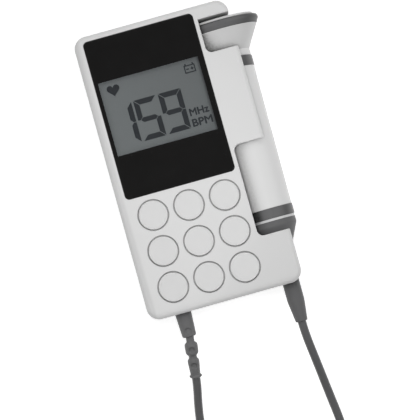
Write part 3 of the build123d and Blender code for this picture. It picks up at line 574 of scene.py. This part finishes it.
def boardMaterial():
    # green solder resist over copper tracks: bricks laid two ways stand for the runs of track
    material, tree, shader, place = newMaterial("boardLaminate", roughness=0.35, coat=0.3)
    runs = []
    for shift, turn in board["runs"]:
        laid = addNode(tree, "ShaderNodeMapping", Vector=place, Rotation=(0, 0, turn)).outputs["Vector"]
        runs.append(addNode(tree, "ShaderNodeTexBrick", {"offset": shift}, Vector=laid, Scale=1.0,
                            Mortar_Size=board["gap"] * mm, Brick_Width=board["trackLength"] * mm,
                            Row_Height=board["trackPitch"] * mm).outputs["Fac"])
    tracks = reckon(tree, "MAXIMUM", *runs)
    spots = addNode(tree, "ShaderNodeTexVoronoi", Vector=place, Scale=board["padRate"]).outputs["Distance"]
    pad = ramp(tree, spots, *board["padEdge"], smooth=False)
    resist = mixed(tree, tracks, board["resist"], board["track"])
    feed(tree, shader, {"Base Color": mixed(tree, pad, resist, board["pad"])})
    addBump(tree, shader, reckon(tree, "MAXIMUM", tracks, pad), board["depth"])
    return material


materials["board"] = boardMaterial()
sleeve = {
    "parted": 0.34, "lower": (0.50, 0.28, 0.10), "upper": (0.02, 0.02, 0.022), "rubbed": (0.3, 0.3, 0.3),
    "rubbedShare": 0.12, "hands": 6.0, "grain": 0.8, "depth": 0.006,
}


def cellMaterial(low, high):
    # a cell's printed sleeve in two plain colours, parted a third of the way along
    material, tree, shader, place = newMaterial("cellSleeve", roughness=0.3, coat=0.4)
    cloud = useGroup(tree, "handling", Place=place, Size=sleeve["hands"])["Cloud"]
    far = addNode(tree, "ShaderNodeSeparateXYZ", Vector=place).outputs["Y"]
    parted = reckon(tree, "GREATER_THAN", far, (low + sleeve["parted"] * (high - low)) * mm)
    colour = mixed(tree, parted, sleeve["lower"], sleeve["upper"])
    feed(tree, shader, {
        "Base Color": mixed(tree, product(tree, cloud, sleeve["rubbedShare"]), colour, sleeve["rubbed"])})
    addGrain(tree, shader, place, sleeve["grain"], sleeve["depth"])
    return material


display = {
    "viewMiddle": (-6.8, 28.25), "viewSize": (49.8, 36.5), "maskEdge": 0.12,
    "cornerRadius": 2.2, "edgeRadius": 0.3, "glassRadius": 0.4, "glassBevel": 0.1,
    "ink": (0.0095, 0.0093, 0.0092), "inkCloud": 1.25, "hands": 9.0, "rough": 0.05, "veil": 0.16,
    "glassTop": 25.0, "inkTop": 25.06, "inkBase": 0.01,
    "shadowShift": (0.22, -0.18), "shadowBase": -0.02, "shadowTop": 0.006,
    "reflector": (0.285, 0.315, 0.320), "speckle": (9000.0, 0.16, (0.22, 0.225, 0.24)),
    "mottle": (60.0, 0.25, (0.27, 0.27, 0.275)), "fade": 0.16,
    "frameShade": (0.10, 0.105, 0.11), "shadeFrom": 0.9, "shadeTo": 1.5, "shadeShift": 1.0,
    "segment": (0.040, 0.045, 0.052), "segmentShadow": (0.20, 0.22, 0.225),
    "segmentGrain": (7000.0, 0.2, 1.6),         # its rate, its share, and how much lighter it gets
}
digits = {
    "low": 14.0, "high": 34.05, "stroke": 2.5, "gap": 0.22,
    "places": ((-29.8, -18.7, "bc"), (-17.7, -6.5, "afgcd"), (-5.4, 5.8, "abfgcd")),
}
signs = {
    "heart": ((-28.4, 38.35), (-22.15, 44.0)),
    "battery": ((10.1, 39.8), (15.5, 43.7)), "line": 0.54, "post": 1.4,         # the posts are in lines
    "signReach": 0.4, "signInset": 0.88,        # half a sign's width and its place, in thirds of the battery
    "bold": 0.16, "wordStep": 0.002,
    "words": (("MHz", (7.1, 19.6), (16.3, 23.0)), ("BPM", (7.1, 14.3), (16.8, 17.8))),
}


def windowMaterial():
    # black ink behind clear acrylic, left out over the display, where only a dim veil stays
    material, tree, shader, place = newMaterial("windowAcrylic")
    spot = addNode(tree, "ShaderNodeSeparateXYZ", Vector=place).outputs
    inside = []
    for axis, middle, size in zip("XY", display["viewMiddle"], display["viewSize"]):
        off = reckon(tree, "ABSOLUTE", reckon(tree, "SUBTRACT", spot[axis], middle * mm))
        inside.append(ramp(tree, off, (size / 2) * mm, (size / 2 - display["maskEdge"]) * mm, smooth=False))
    hands = useGroup(tree, "handling", Place=place, Size=display["hands"])
    clouded = [display["inkCloud"] * part for part in display["ink"]]
    feed(tree, shader, {
        "Alpha": ramp(tree, product(tree, *inside), 0.0, 1.0, 1.0, display["veil"], smooth=False),
        "Base Color": mixed(tree, hands["Cloud"], display["ink"], clouded),
        "Roughness": plus(tree, product(tree, hands["Rubbed"], display["rough"]), display["rough"]),
    })
    return material


def reflectorMaterial():
    # the display's grey back layer, duller towards the right and darker near its edges, where the frame
    # shades it
    material, tree, shader, place = newMaterial("displayBack", roughness=0.55)
    spot = addNode(tree, "ShaderNodeSeparateXYZ", Vector=place).outputs
    (middleX, middleY), shift = display["viewMiddle"], display["shadeShift"]
    halfX, halfY = (size / 2 for size in display["viewSize"])
    offX = reckon(tree, "ABSOLUTE", reckon(tree, "SUBTRACT", spot["X"], (middleX - shift) * mm))
    offY = reckon(tree, "SUBTRACT", spot["Y"], (middleY + shift) * mm)
    shades = [ramp(tree, off, (half - display["shadeFrom"]) * mm, (half + display["shadeTo"]) * mm)
              for off, half in ((offX, halfX), (offY, halfY))]
    grey = display["reflector"]
    for rate, share, colour in (display["speckle"], display["mottle"]):
        grey = mixed(tree, product(tree, noise(tree, place, rate, 2.0), share), grey, colour)
    far = ramp(tree, spot["X"], (middleX - halfX) * mm, (middleX + halfX) * mm, high=display["fade"],
               smooth=False)
    grey = mixed(tree, far, grey, (0.0, 0.0, 0.0))
    edge = reckon(tree, "MAXIMUM", *shades)
    feed(tree, shader, {"Base Color": mixed(tree, edge, grey, display["frameShade"])})
    return material


def segmentMaterial(name, colour):
    # the display's dark marks, with a fine lighter grain
    material, tree, shader, place = newMaterial(name)
    rate, share, lighter = display["segmentGrain"]
    grain = product(tree, noise(tree, place, rate, 1.0), share)
    feed(tree, shader, {"Base Color": mixed(tree, grain, colour, [lighter * part for part in colour])})
    return material


def digitOutlines(left, right, shown):
    # the seven bars of one digit, mitred where they meet, as outlines with a fine gap between neighbours
    low, high, stroke, gap = digits["low"], digits["high"], digits["stroke"], digits["gap"]
    middle, half = (low + high) / 2, stroke / 2
    inLeft, inRight, rise = left + stroke + gap / 2, right - stroke - gap / 2, half - gap / 2
    cap = [(left + gap, high), (right - gap, high), (right - gap - stroke, high - stroke),
           (left + gap + stroke, high - stroke)]
    side = [(right, high - gap), (right, middle + gap), (right - half, middle + gap / 2),
            (right - stroke, middle + half + gap), (right - stroke, high - gap - stroke)]
    dash = [(left + half + gap, middle), (inLeft, middle + rise), (inRight, middle + rise),
            (right - half - gap, middle), (inRight, middle - rise), (inLeft, middle - rise)]

    def mirrored(outline, flipX, flipY):
        return [(left + right - x if flipX else x, low + high - y if flipY else y) for x, y in outline]

    bars = {"a": cap, "b": side, "c": mirrored(side, False, True), "d": mirrored(cap, False, True),
            "e": mirrored(side, True, True), "f": mirrored(side, True, False), "g": dash}
    return [bars[key] for key in shown]


def heartOutline(low, high, count=48):
    # x = sin cubed, y = 13 cos t - 5 cos 2t - 2 cos 3t - cos 4t, scaled to its box
    turn = np.arange(count) * fullTurn / count
    x = np.sin(turn)**3
    y = (13 * np.cos(turn) - 5 * np.cos(2 * turn) - 2 * np.cos(3 * turn) - np.cos(4 * turn)) / 16
    shape = np.stack([x, y], -1)
    shape = (shape - shape.min(0)) / np.ptp(shape, axis=0)
    return np.array(low) + shape * (np.array(high) - np.array(low))


def batteryOutlines():
    # a frame of four bars, two posts, a minus and a plus, each given by two opposite corners
    (x0, y0), (x1, y1), line = *signs["battery"], signs["line"]
    third, middle, half = (x1 - x0) / 3, (y0 + y1) / 2, line / 2
    reach, post = signs["signReach"] * third, y1 + signs["post"] * line
    plusX, minusX = x1 - signs["signInset"] * third, x0 + signs["signInset"] * third
    bars = (
        (x0, y0, x1, y0 + line), (x0, y1 - line, x1, y1),
        (x0, y0 + line, x0 + line, y1 - line), (x1 - line, y0 + line, x1, y1 - line),
        (x0 + line, y1, x0 + line + reach, post), (x1 - line - reach, y1, x1 - line, post),
        (minusX - reach, middle - half, minusX + reach, middle + half),
        (plusX - reach, middle - half, plusX + reach, middle + half),
        (plusX - half, middle + half, plusX + half, middle + reach),
        (plusX - half, middle - reach, plusX + half, middle - half),
    )
    return [[(left, low), (right, low), (right, high), (left, high)] for left, low, right, high in bars]


def wordSkin(text, low, high, base, top):
    # a word in the plain built-in face, made a mesh and then fitted to its box
    curve = bpy.data.curves.new("word", "FONT")
    curve.body, curve.extrude, curve.resolution_u = text, 0.05, 4           # fitting sets its real thickness
    holder = bpy.data.objects.new("word", curve)
    bpy.context.scene.collection.objects.link(holder)
    bpy.context.view_layer.update()
    mesh = bpy.data.meshes.new_from_object(holder.evaluated_get(bpy.context.evaluated_depsgraph_get()))
    points = meshPoints(mesh)
    mesh.calc_loop_triangles()
    corners = np.zeros(len(mesh.loop_triangles) * 3, int)
    mesh.loop_triangles.foreach_get("vertices", corners)
    bpy.data.objects.remove(holder)
    bpy.data.meshes.remove(mesh)
    share = (points - points.min(0)) / np.ptp(points, axis=0)
    spots = np.array([*low, base]) + share * (np.array([*high, top]) - np.array([*low, base]))
    return spots, np.zeros((0, 4), int), corners.reshape(-1, 3)


def addDisplay():
    low, high = boxOf("display_window")
    roll = display["edgeRadius"]
    edge = profileOf([(0, low[2]), (0, high[2], roll), (roll * 4, high[2])], steps=5)
    lens = slabRings((low + high)[:2] / 2, (high - low)[:2], display["cornerRadius"], edge)
    addPiece("windowLens", [skin(lens)], windowMaterial(), "handset", ["display_window"])

    low, high = boxOf("lcd_panel")
    top, bevel = display["glassTop"], display["glassBevel"]
    inkBase, inkTop = top + display["inkBase"], display["inkTop"]
    edge = [(0, low[2]), (0, top - bevel), (bevel, top)]
    glass = slabRings((low + high)[:2] / 2, (high - low)[:2], display["glassRadius"], edge)
    addPiece("displayGlass", [skin(glass)], reflectorMaterial(), "handset", ["lcd_panel"])
    outlines = [outline for place in digits["places"] for outline in digitOutlines(*place)]
    outlines += [heartOutline(*signs["heart"])] + batteryOutlines()
    # each word is laid four times, a little to every side, which makes its strokes bold
    bold = signs["bold"]
    words = [wordSkin(text, np.array(start) + shift, np.array(end) + shift, inkBase,
                      inkTop + signs["wordStep"] * number)
             for text, start, end in signs["words"]
             for number, shift in enumerate(([bold, 0], [-bold, 0], [0, bold], [0, -bold]))]
    addPiece("displaySegments", [skin(plateRings(outline, inkBase, inkTop)) for outline in outlines] + words,
             segmentMaterial("segmentInk", display["segment"]), "handset", sharp=20)
    shadowBase, shadowTop = top + display["shadowBase"], top + display["shadowTop"]
    shadows = [plateRings(np.array(outline) + display["shadowShift"], shadowBase, shadowTop)
               for outline in outlines]
    addPiece("segmentShadows", [skin(rings) for rings in shadows],
             segmentMaterial("segmentShade", display["segmentShadow"]), "handset", sharp=20)


keyCap = {
    "radius": 7.0, "edge": 0.45, "dish": 0.10, "dishReach": 0.86, "flangeTop": 24.9, "flange": 0.9,
    "flangeEdge": 0.1, "skin": 1.6, "wall": 1.4, "stem": 2.0, "bend": 0.3, "middle": 0.3,
}


def addKeys():
    radius, rest = keyCap["radius"], keyCap["flangeTop"]
    stem, bend, soft = keyCap["stem"], keyCap["bend"], keyCap["flangeEdge"]
    for number in range(1, 10):
        low, high = boxOf(f"key_{number}")
        middle, top, out = (low + high)[:2] / 2, high[2], (high - low)[0] / 2
        base, under, inner = rest - keyCap["flange"], top - keyCap["skin"], radius - keyCap["wall"]
        # from the dished middle of the top out over the edge, down to the flange, and back inside to the stem
        dish = [(share * radius * keyCap["dishReach"],
                 top - keyCap["dish"] * math.cos(share * fullTurn / 4)**2)
                for share in (0.02, 0.2, 0.4, 0.6, 0.8, 1.0)]
        cap = profileOf([*dish, (radius, top, keyCap["edge"]), (radius, rest), (out, rest, soft),
                         (out, base, soft), (inner, base), (inner, under, bend), (stem, under, bend),
                         (stem, low[2], bend), (keyCap["middle"], low[2])])
        addPiece(f"keyCap_{number}", [skin(turned(cap, (*middle, 0), up, along))], materials["key"],
                 f"key_{number}", [f"key_{number}"])


probe = {
    "sides": 128, "flatness": 0.67, "neckTop": 45.0, "neckRadius": 11.4, "neckHeight": 9.6,
    "ringBaseRadius": 18.3, "ringWidest": 58.8, "ringBelly": 1.5,
    "ringShoulder": (0.35, 0.1, 1.1),           # how far in and down its corner is, and the corner's radius
    "ringInside": 0.7, "ringLip": 0.2, "ringLipEdge": 0.1, "faceRadius": 17.4, "faceEdge": 0.5,
    "faceDome": 0.4, "faceSpigot": 0.8, "coneWall": 1.6, "coneBend": 0.5,
    "wall": 1.8, "sleeve": 1.5, "fit": 0.1, "lap": 0.2, "bandEdge": 0.25, "lightRingEdge": 0.12, "edge": 0.2,
    "fineEdge": 0.15, "gripRearRadius": 10.8, "tailShoulder": -42.05, "tailBend": 1.6,
    "tailEnd": (0.15, 0.4), "tailSocket": (0.05, 4.0),      # wider than the boot, round; narrower, deep
    "bootRadius": 4.25, "bootShoulder": 0.05, "bootTaper": -79.2, "bootTaperIn": 0.1, "bootBend": 2.0,
    "bootEnd": 2.9, "bootEdge": 0.5, "bootInside": (1.9, 1.6), "middle": 0.3,
}


def flatnessAt(line, inner, base):
    # the head's height over its width: both radii grow evenly from the neck's oval to the ring's base, and
    # the sleeve that goes into the grip is round
    share = np.clip((line[:, 1] - probe["neckTop"]) / (base - probe["neckTop"]), 0, 1)
    wide = probe["neckRadius"] + share * (probe["ringBaseRadius"] - probe["neckRadius"])
    high = probe["neckHeight"] + share * (probe["ringBaseRadius"] * probe["flatness"] - probe["neckHeight"])
    return np.where(line[:, 0] > inner, high / wide, 1)


def addProbe():
    boxes = {name: boxOf(name) for name in (
        "probe_face", "head_ring", "probe_head", "neck_band", "probe_grip", "rear_band", "light_ring",
        "probe_tail", "probe_boot")}
    reach = {name: (high - low)[0] / 2 for name, (low, high) in boxes.items()}
    base = {name: low[1] for name, (low, high) in boxes.items()}
    top = {name: high[1] for name, (low, high) in boxes.items()}
    axis = sum(boxes["probe_grip"]) / 2 * [1, 0, 1]
    inner = reach["probe_grip"] - probe["wall"]
    fitted, bore, lapped = inner - probe["fit"], inner - probe["sleeve"], inner - probe["lap"]
    edge, fineEdge, flat = probe["edge"], probe["fineEdge"], probe["flatness"]

    def piece(name, spots, finish, node, slot, closed=True, flatness=1.0, step=None):
        # one turned piece of the probe; without a flatness it follows the flare's
        line = profileOf(spots, closed)
        if closed:
            line = line[:-1]
        if step:
            line = divided(line, step)
        ratio = flatnessAt(line, inner, base["head_ring"]) if flatness is None else flatness
        rings = turned(line, axis, flatness=ratio, sides=probe["sides"])
        return addPiece(name, [skin(rings, closed)], materials[finish], "probe", [node])

    face, ring, rim = top["probe_face"], top["head_ring"], base["probe_face"]
    wide, roll = probe["faceRadius"], probe["faceEdge"]
    spigot = wide - probe["faceSpigot"]
    dome = [(share * (wide - roll), face - probe["faceDome"] * share**2)
            for share in (0.02, 0.2, 0.4, 0.6, 0.8, 0.95)]
    piece("probeFacePlate", [*dome, (wide, face - probe["faceDome"], roll), (wide, ring), (spigot, ring),
                             (spigot, rim), (probe["middle"], rim)],
          "probe", "probe_face", "probe_plastic", False, flat)
    widest, ringBase, flare = reach["head_ring"], base["head_ring"], probe["ringBaseRadius"]
    inside, (inset, drop, bend) = wide - probe["ringInside"], probe["ringShoulder"]
    piece("probeHeadRing", [
        (inside, ringBase), (flare, ringBase, fineEdge), (widest, probe["ringWidest"], probe["ringBelly"]),
        (widest - inset, ring - drop, bend), (wide + probe["ringLip"], ring, probe["ringLipEdge"]),
        (inside, ring)],
        "band", "head_ring", "grey_rubber", True, flat)
    neck, neckTop, neckBase = probe["neckRadius"], probe["neckTop"], top["neck_band"]
    piece("probeHeadCone", [
        (flare - probe["coneWall"], ringBase), (flare, ringBase, edge), (neck, neckTop, probe["coneBend"]),
        (neck, neckBase, fineEdge), (fitted, neckBase), (fitted, base["probe_head"]),
        (bore, base["probe_head"]), (bore, neckTop)],
        "head", "probe_head", "probe_plastic", True, None, step=1.0)
    for name, node, finish, slot, soft in (
            ("neckBand", "neck_band", "band", "grey_rubber", probe["bandEdge"]),
            ("rearBand", "rear_band", "band", "grey_rubber", probe["bandEdge"]),
            ("lightRing", "light_ring", "lightRing", "casing_plastic", probe["lightRingEdge"])):
        piece(name, [(inner, top[node]), (reach[node], top[node], soft), (reach[node], base[node], soft),
                     (inner, base[node])], finish, node, slot)
    gripTop, gripBase = top["probe_grip"], base["probe_grip"]
    piece("probeGripTube", [(lapped, gripTop), (reach["probe_grip"], gripTop, edge),
                            (probe["gripRearRadius"], gripBase, edge), (lapped, gripBase)],
          "probe", "probe_grip", "probe_plastic")
    tail, shoulder, lightBase = reach["probe_tail"], probe["tailShoulder"], base["light_ring"]
    tailBase, tailTop, boot = base["probe_tail"], top["probe_tail"], probe["bootRadius"]
    (wider, endBend), (narrower, deep) = probe["tailEnd"], probe["tailSocket"]
    piece("probeTailCap", [
        (bore, tailTop), (fitted, tailTop), (fitted, lightBase), (tail, lightBase, edge),
        (tail, shoulder, probe["tailBend"]), (boot + wider, tailBase, endBend),
        (boot - narrower, tailBase), (boot - narrower, tailBase + deep), (bore, shoulder)],
        "rubber", "probe_tail", "grey_rubber")
    bootTop, bootBase, (firstBore, lastBore) = top["probe_boot"], base["probe_boot"], probe["bootInside"]
    piece("probeCordBoot", [
        (firstBore, bootTop), (boot - probe["lap"], bootTop), (boot - probe["lap"], tailBase),
        (boot, tailBase, probe["bootShoulder"]),
        (boot - probe["bootTaperIn"], probe["bootTaper"], probe["bootBend"]),
        (probe["bootEnd"], bootBase, probe["bootEdge"]), (lastBore, bootBase)],
        "rubber", "probe_boot", "grey_rubber", False, step=0.8)


relief = {
    "root": 4.0, "rootEnd": 3.4, "rootLength": 12.0, "rootBend": 1.1,
    "rootDimple": 2.2, "rootDimpleFrom": 2.6, "rootDimpleOut": 0.15,
    "flange": 5.2, "flangeDepth": 1.4, "flangeEdge": 0.2, "droop": 14.0, "swing": 7.0, "tuck": 1.5,
    "neck": 1.95, "neckLength": 3.2, "first": 3.2, "firstLength": 5.6, "gap": 2.6, "second": 2.75,
    "secondLength": 7.6, "collar": 3.05, "collarLength": 1.8, "middle": 0.3, "step": 0.25,
    "dimple": 1.7, "dimpleDepth": 0.85, "secondDimple": 2.7,
    # the chain's corners: the stop, how far past it, whose radius, how much wider, the corner's own radius
    "corners": ((1, -0.7, "neck", 0, 0.9), (1, 0.35, "first", -0.15, 0.3), (1, 1.1, "first", 0, 0.5),
                (2, -1.0, "first", -0.1, 0.5), (2, -0.3, "first", -0.4, 0.3), (2, 0.7, "neck", 0, 0.9),
                (3, -0.7, "neck", 0, 0.9), (3, 0.35, "second", 0, 0.3), (3, 1.3, "second", 0.1, 0.6),
                (4, 0, "second", -0.35, 0.25), (4, 0.7, "collar", 0, 0.35), (4, 1.1, "collar", 0, 0.35),
                (5, 0, "neck", 0.2, 0.3)),
}


def reliefPlace():
    # the end of the root, and the way the drooping chain leaves it
    high = boxOf("cable_relief")[1]
    droop, swing = math.radians(relief["droop"]), math.radians(relief["swing"])
    level = sum(boxOf("headphone_socket"))[2] / 2
    start = np.array([high[0] - relief["flange"], boxOf("front_shell")[0][1] - relief["rootLength"], level])
    way = np.array([-math.sin(swing) * math.cos(droop), -math.cos(swing) * math.cos(droop), -math.sin(droop)])
    return start, way


def addRelief():
    start, way = reliefPlace()
    length, core, step = relief["rootLength"], relief["middle"], relief["step"]
    inside = boxOf("cable_relief")[1][1] - (start[1] + length)
    behind, flange, soft = inside - relief["flangeDepth"], relief["flange"], relief["flangeEdge"]
    root = profileOf([(core, inside), (flange, inside, soft), (flange, behind, soft),
                      (relief["root"], behind), (relief["root"], 0),
                      (relief["rootEnd"], -length, relief["rootBend"]), (core, -length)])
    rings = turned(divided(root, step), start + length * along, along, up)
    dimpleAt, depth = start + relief["rootDimpleFrom"] * along, relief["dimpleDepth"]
    out = relief["rootEnd"] + relief["rootDimpleOut"]
    for side in (up, -up):
        rings = dented(rings, dimpleAt + out * side, relief["rootDimple"], depth, -side)
    stops = np.cumsum([0] + [relief[key] for key in ("neckLength", "firstLength", "gap", "secondLength",
                                                     "collarLength")])
    chain = profileOf([(core, -relief["tuck"]), (relief["neck"], -relief["tuck"]),
                       *((relief[link] + wider, stops[stop] + past, bend)
                         for stop, past, link, wider, bend in relief["corners"]), (core, stops[5])])
    links = turned(divided(chain, step), start, way, up)
    raised = unit(up - (up @ way) * way)
    for place, radius in ((stops[1] + relief["firstLength"] / 2, relief["first"]),
                          (stops[3] + relief["secondDimple"], relief["second"])):
        for side in (raised, -raised):
            links = dented(links, start + place * way + radius * side, relief["dimple"], depth, -side)
    addPiece("strainRelief", [skin(rings), skin(links)], materials["relief"], "handset", ["cable_relief"],
             sharp=50)
    return start + stops[5] * way, way


# the route's points, in metres, as they lie on the table
probeRoute = [
    (0.03225, -0.0896, 0.0133), (0.03225, -0.0956, 0.0133), (0.0337, -0.1075, 0.0107),
    (0.0350, -0.1180, 0.0064), (0.0363, -0.1290, 0.0030), (0.0377, -0.1405, 0.00212),
    (0.0382, -0.1520, 0.00212), (0.0342, -0.1625, 0.00225),
]
handsetRoute = [
    (-0.0269, -0.1145, 0.0055), (-0.0284, -0.1230, 0.0036), (-0.0290, -0.1315, 0.0024),
    (-0.0284, -0.1405, 0.00212), (-0.0260, -0.1495, 0.0022), (-0.0226, -0.1585, 0.0028),
]
cord = {
    "diameter": 0.0041, "length": 1.15, "lead": 0.004, "sides": 20, "smooth": 6,
    "perTurn": 16, "pitch": 0.0042, "layer": 0.0037, "first": 0.00258, "wander": 0.0001, "wanderRate": 5.3,
    "start": -7.0, "end": 177.6, "turns": 7, "move": 0.22,
    # (column, layer) of each turn, from the outside of the bottom layer in, up, and out again
    "slots": ((1, 0), (0, 0), (-1, 0), (-1, 1), (-1, 2), (0, 2), (1, 2), (1, 1)),
    "blendFrom": (0.0323, -0.0966, 0), "blendTo": (0.0015, -0.1274, 0),
}


def coilPoints():
    # clockwise turns round the coil's middle; each turn keeps to its slot and moves to the next in its last
    # part. The radius is over cos(half a step), because the spline runs inside its control points by that
    # much.
    low, high = (np.array(corner) * mm for corner in boxOf("cord_coil"))
    middle = (low + high) / 2
    radius = (high - low)[0] / 2 - cord["diameter"] / 2 - cord["pitch"]
    last = cord["turns"] + ((cord["start"] - cord["end"]) % 360) / 360
    share = np.arange(0, last, 1 / cord["perTurn"])[:-1]
    slots = np.array(cord["slots"], float)
    turn = np.minimum(share.astype(int), len(slots) - 2)
    moved = np.clip((share - turn - 1 + cord["move"]) / cord["move"], 0, 1)
    moved = (moved**2 * (3 - 2 * moved))[:, None]
    column, layer = ((1 - moved) * slots[turn] + moved * slots[turn + 1]).T
    angle = math.radians(cord["start"]) - share * fullTurn
    wander = cord["wander"] * np.sin(cord["wanderRate"] * angle)
    reach = (radius + cord["pitch"] * column + wander) / math.cos(fullTurn / 2 / cord["perTurn"])
    return np.stack([middle[0] + reach * np.cos(angle), middle[1] + reach * np.sin(angle),
                     cord["first"] + cord["layer"] * layer], -1)


def addCord(reliefEnd, reliefWay):
    tip = np.array(reliefEnd) * mm
    lead = tip + cord["lead"] * reliefWay
    points = np.vstack([probeRoute, coilPoints(), handsetRoute[::-1], lead, tip])
    curve = bpy.data.curves.new("cordLine", "CURVE")
    curve.dimensions, curve.resolution_u = "3D", cord["smooth"]
    spline = curve.splines.new("NURBS")
    spline.points.add(len(points) - 1)
    spline.points.foreach_set("co", np.pad(points, ((0, 0), (0, 1)), constant_values=1).ravel())
    spline.order_u, spline.use_endpoint_u = 3, True
    holder = bpy.data.objects.new("cordLine", curve)
    bpy.context.scene.collection.objects.link(holder)
    path = meshPoints(bpy.data.meshes.new_from_object(holder))
    bpy.data.objects.remove(holder)
    piece = addPiece("cord", [skin(tubeRings(path / mm, cord["diameter"] / 2 / mm, cord["sides"]))],
                     materials["jacket"], None, ["cord_probe_side", "cord_handset_side", "cord_coil"])
    tie = addTie()
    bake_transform(piece)


tieStrap = {"turn": 90.0, "width": 5.5, "thickness": 0.5, "edge": 0.15, "slack": 0.02, "corner": 1.9}


def addTie():
    # a strap round the coil's bundle, as a rounded loop in the plane that holds the coil's axis
    low, high = boxOf("cord_coil")
    middle, outer = (low + high) / 2 * [1, 1, 0], (high - low)[0] / 2
    thick, pitch, layer = cord["diameter"] / mm, cord["pitch"] / mm, cord["layer"] / mm
    bundle = np.array([2 * pitch + thick, 2 * layer + thick])
    centre = (outer - bundle[0] / 2, cord["first"] / mm + layer)
    angle = math.radians(tieStrap["turn"])
    out = np.array([math.cos(angle), math.sin(angle), 0])
    sideways = np.cross(up, out)
    strap, half, edge = tieStrap["thickness"], tieStrap["width"] / 2, tieStrap["edge"]
    section = profileOf([(-half, 0, edge), (half, 0, edge), (half, strap, edge), (-half, strap, edge)],
                        True, 3)
    rings = []
    for wide, lift in section[:-1]:
        loop = roundedLoop(centre, bundle + 2 * (tieStrap["slack"] + lift), tieStrap["corner"] + lift)
        rings.append(middle + loop[:, :1] * out + loop[:, 1:] * up + wide * sideways)
    return addPiece("cordTie", [skin(np.stack(rings), joined=True)], materials["tie"], "handset")


cell = {
    "radius": 7.25, "edge": 0.5, "apart": 7.4, "height": 9.9, "lip": 1.2, "step": 0.2, "sunk": 0.15,
    "hole": 0.4, "nub": 2.75, "nubLength": 1.0, "nubEdge": 0.35, "nubFrom": 2.2,
    "flat": 1.5, "flatBase": 0.05, "flatTop": 0.3, "flatEdge": 0.2, "middle": 0.3, "sides": 48,
}


def addCells():
    low, high = boxOf("battery_cells")
    middle, length = (low[0] + high[0]) / 2, high[1] - low[1]
    radius, edge, hole, core, sunk = (cell[key] for key in ("radius", "edge", "hole", "middle", "sunk"))
    lip, end = radius - cell["lip"], length - cell["nubLength"]
    well, flat = lip - cell["step"], radius - cell["flat"]
    body = profileOf([(hole, sunk), (well, sunk), (lip, 0.0), (radius, 0.0, edge), (radius, end, edge),
                      (lip, end), (well, end - sunk), (hole, end - sunk)])
    nub = profileOf([(cell["nub"], length - cell["nubFrom"]), (cell["nub"], length, cell["nubEdge"]),
                     (core, length)])
    plate = profileOf([(core, cell["flatBase"]), (flat, cell["flatBase"], cell["flatEdge"]),
                       (flat, cell["flatTop"])])
    shells, caps = [], []
    for side, start, way in ((-1, low[1], along), (1, high[1], -along)):
        origin = (middle + side * cell["apart"], start, cell["height"])
        shells.append(skin(turned(body, origin, way, up)))
        caps += [skin(turned(line, origin, way, up, sides=cell["sides"])) for line in (nub, plate)]
    addPiece("cellSleeves", shells, cellMaterial(low[1], high[1]), "handset", ["battery_cells"])
    addPiece("cellCaps", caps, materials["steel"], "handset")


contact = {"plate": 0.4, "plateEdge": 0.12, "plateCorner": 1.0, "bumpRadius": 3.0, "bumpTop": 2.2,
           "bumpEdge": 0.8, "bumpBase": 0.3}
spring = {"wire": 0.35, "turns": 3.5, "wide": 4.3, "narrow": 2.6, "points": 160, "sides": 10, "spare": 0.8}


def addContacts():
    # a plate at each end of each cell, with a bump where the nub is and a spring at the flat end, whose turns
    # narrow evenly towards the cell
    low, high = boxOf("battery_contacts")
    middle, size = (low[0] + high[0]) / 2, high[2] - low[2]
    cellLow, cellHigh = (corner[1] for corner in boxOf("battery_cells"))
    thick, corner, base = contact["plate"], contact["plateCorner"], contact["bumpBase"]
    leaf = profileOf([(0, 0), (0, thick, contact["plateEdge"]), (corner, thick)], steps=3)
    parts = []
    for side in (-1, 1):
        for endY, inward, reach in ((low[1], 1, cellLow - low[1]), (high[1], -1, high[1] - cellHigh)):
            x = middle + side * cell["apart"]
            plate = slabRings((x, cell["height"]), (size, size), corner, leaf)
            parts.append(skin(np.stack([plate[..., 0], endY + inward * plate[..., 2], plate[..., 1]], -1)))
            if inward * side > 0:
                bump = profileOf([(contact["bumpRadius"], base),
                                  (contact["bumpTop"], reach - base, contact["bumpEdge"]),
                                  (cell["middle"], reach)])
                parts.append(skin(turned(bump, (x, endY, cell["height"]), inward * along, up,
                                         sides=cell["sides"])))
                continue
            turn = np.linspace(0, 1, spring["points"])
            wide = spring["wide"] + (spring["narrow"] - spring["wide"]) * turn
            spin = turn * spring["turns"] * fullTurn
            out = inward * (thick + spring["wire"] + turn * (reach - spring["spare"]))
            path = np.stack([x + wide * np.cos(spin), endY + out, cell["height"] + wide * np.sin(spin)], -1)
            parts.append(skin(tubeRings(path, spring["wire"], spring["sides"], along)))
    addPiece("batteryContacts", parts, materials["steel"], "handset", ["battery_contacts"])


cadFinishes = {
    "casing": ("front_shell", "rear_shell", "battery_door"),
    "inner": ("lcd_holder",),
    "chip": ("board_chips", "headphone_socket"),
    "rubber": ("lcd_connector", "speaker_gasket"),
    "silicone": ("key_mat",),
    "film": ("speaker_cone",),
    "ceramic": ("probe_crystals",),
    "resin": ("crystal_backing",),
    "board": ("main_board", "probe_board"),
    "steel": ("casing_screws",),
    "zinc": ("speaker_basket",),
}

addCord(*addRelief())
print("cord and strain relief")
addDisplay()
addKeys()
print("display and keys")
addProbe()
print("probe")
addCells()
addContacts()
print("cells and contacts")
for finish, nodes in cadFinishes.items():
    for node in nodes:
        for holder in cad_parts[node].material_slots:
            holder.material = materials[finish]
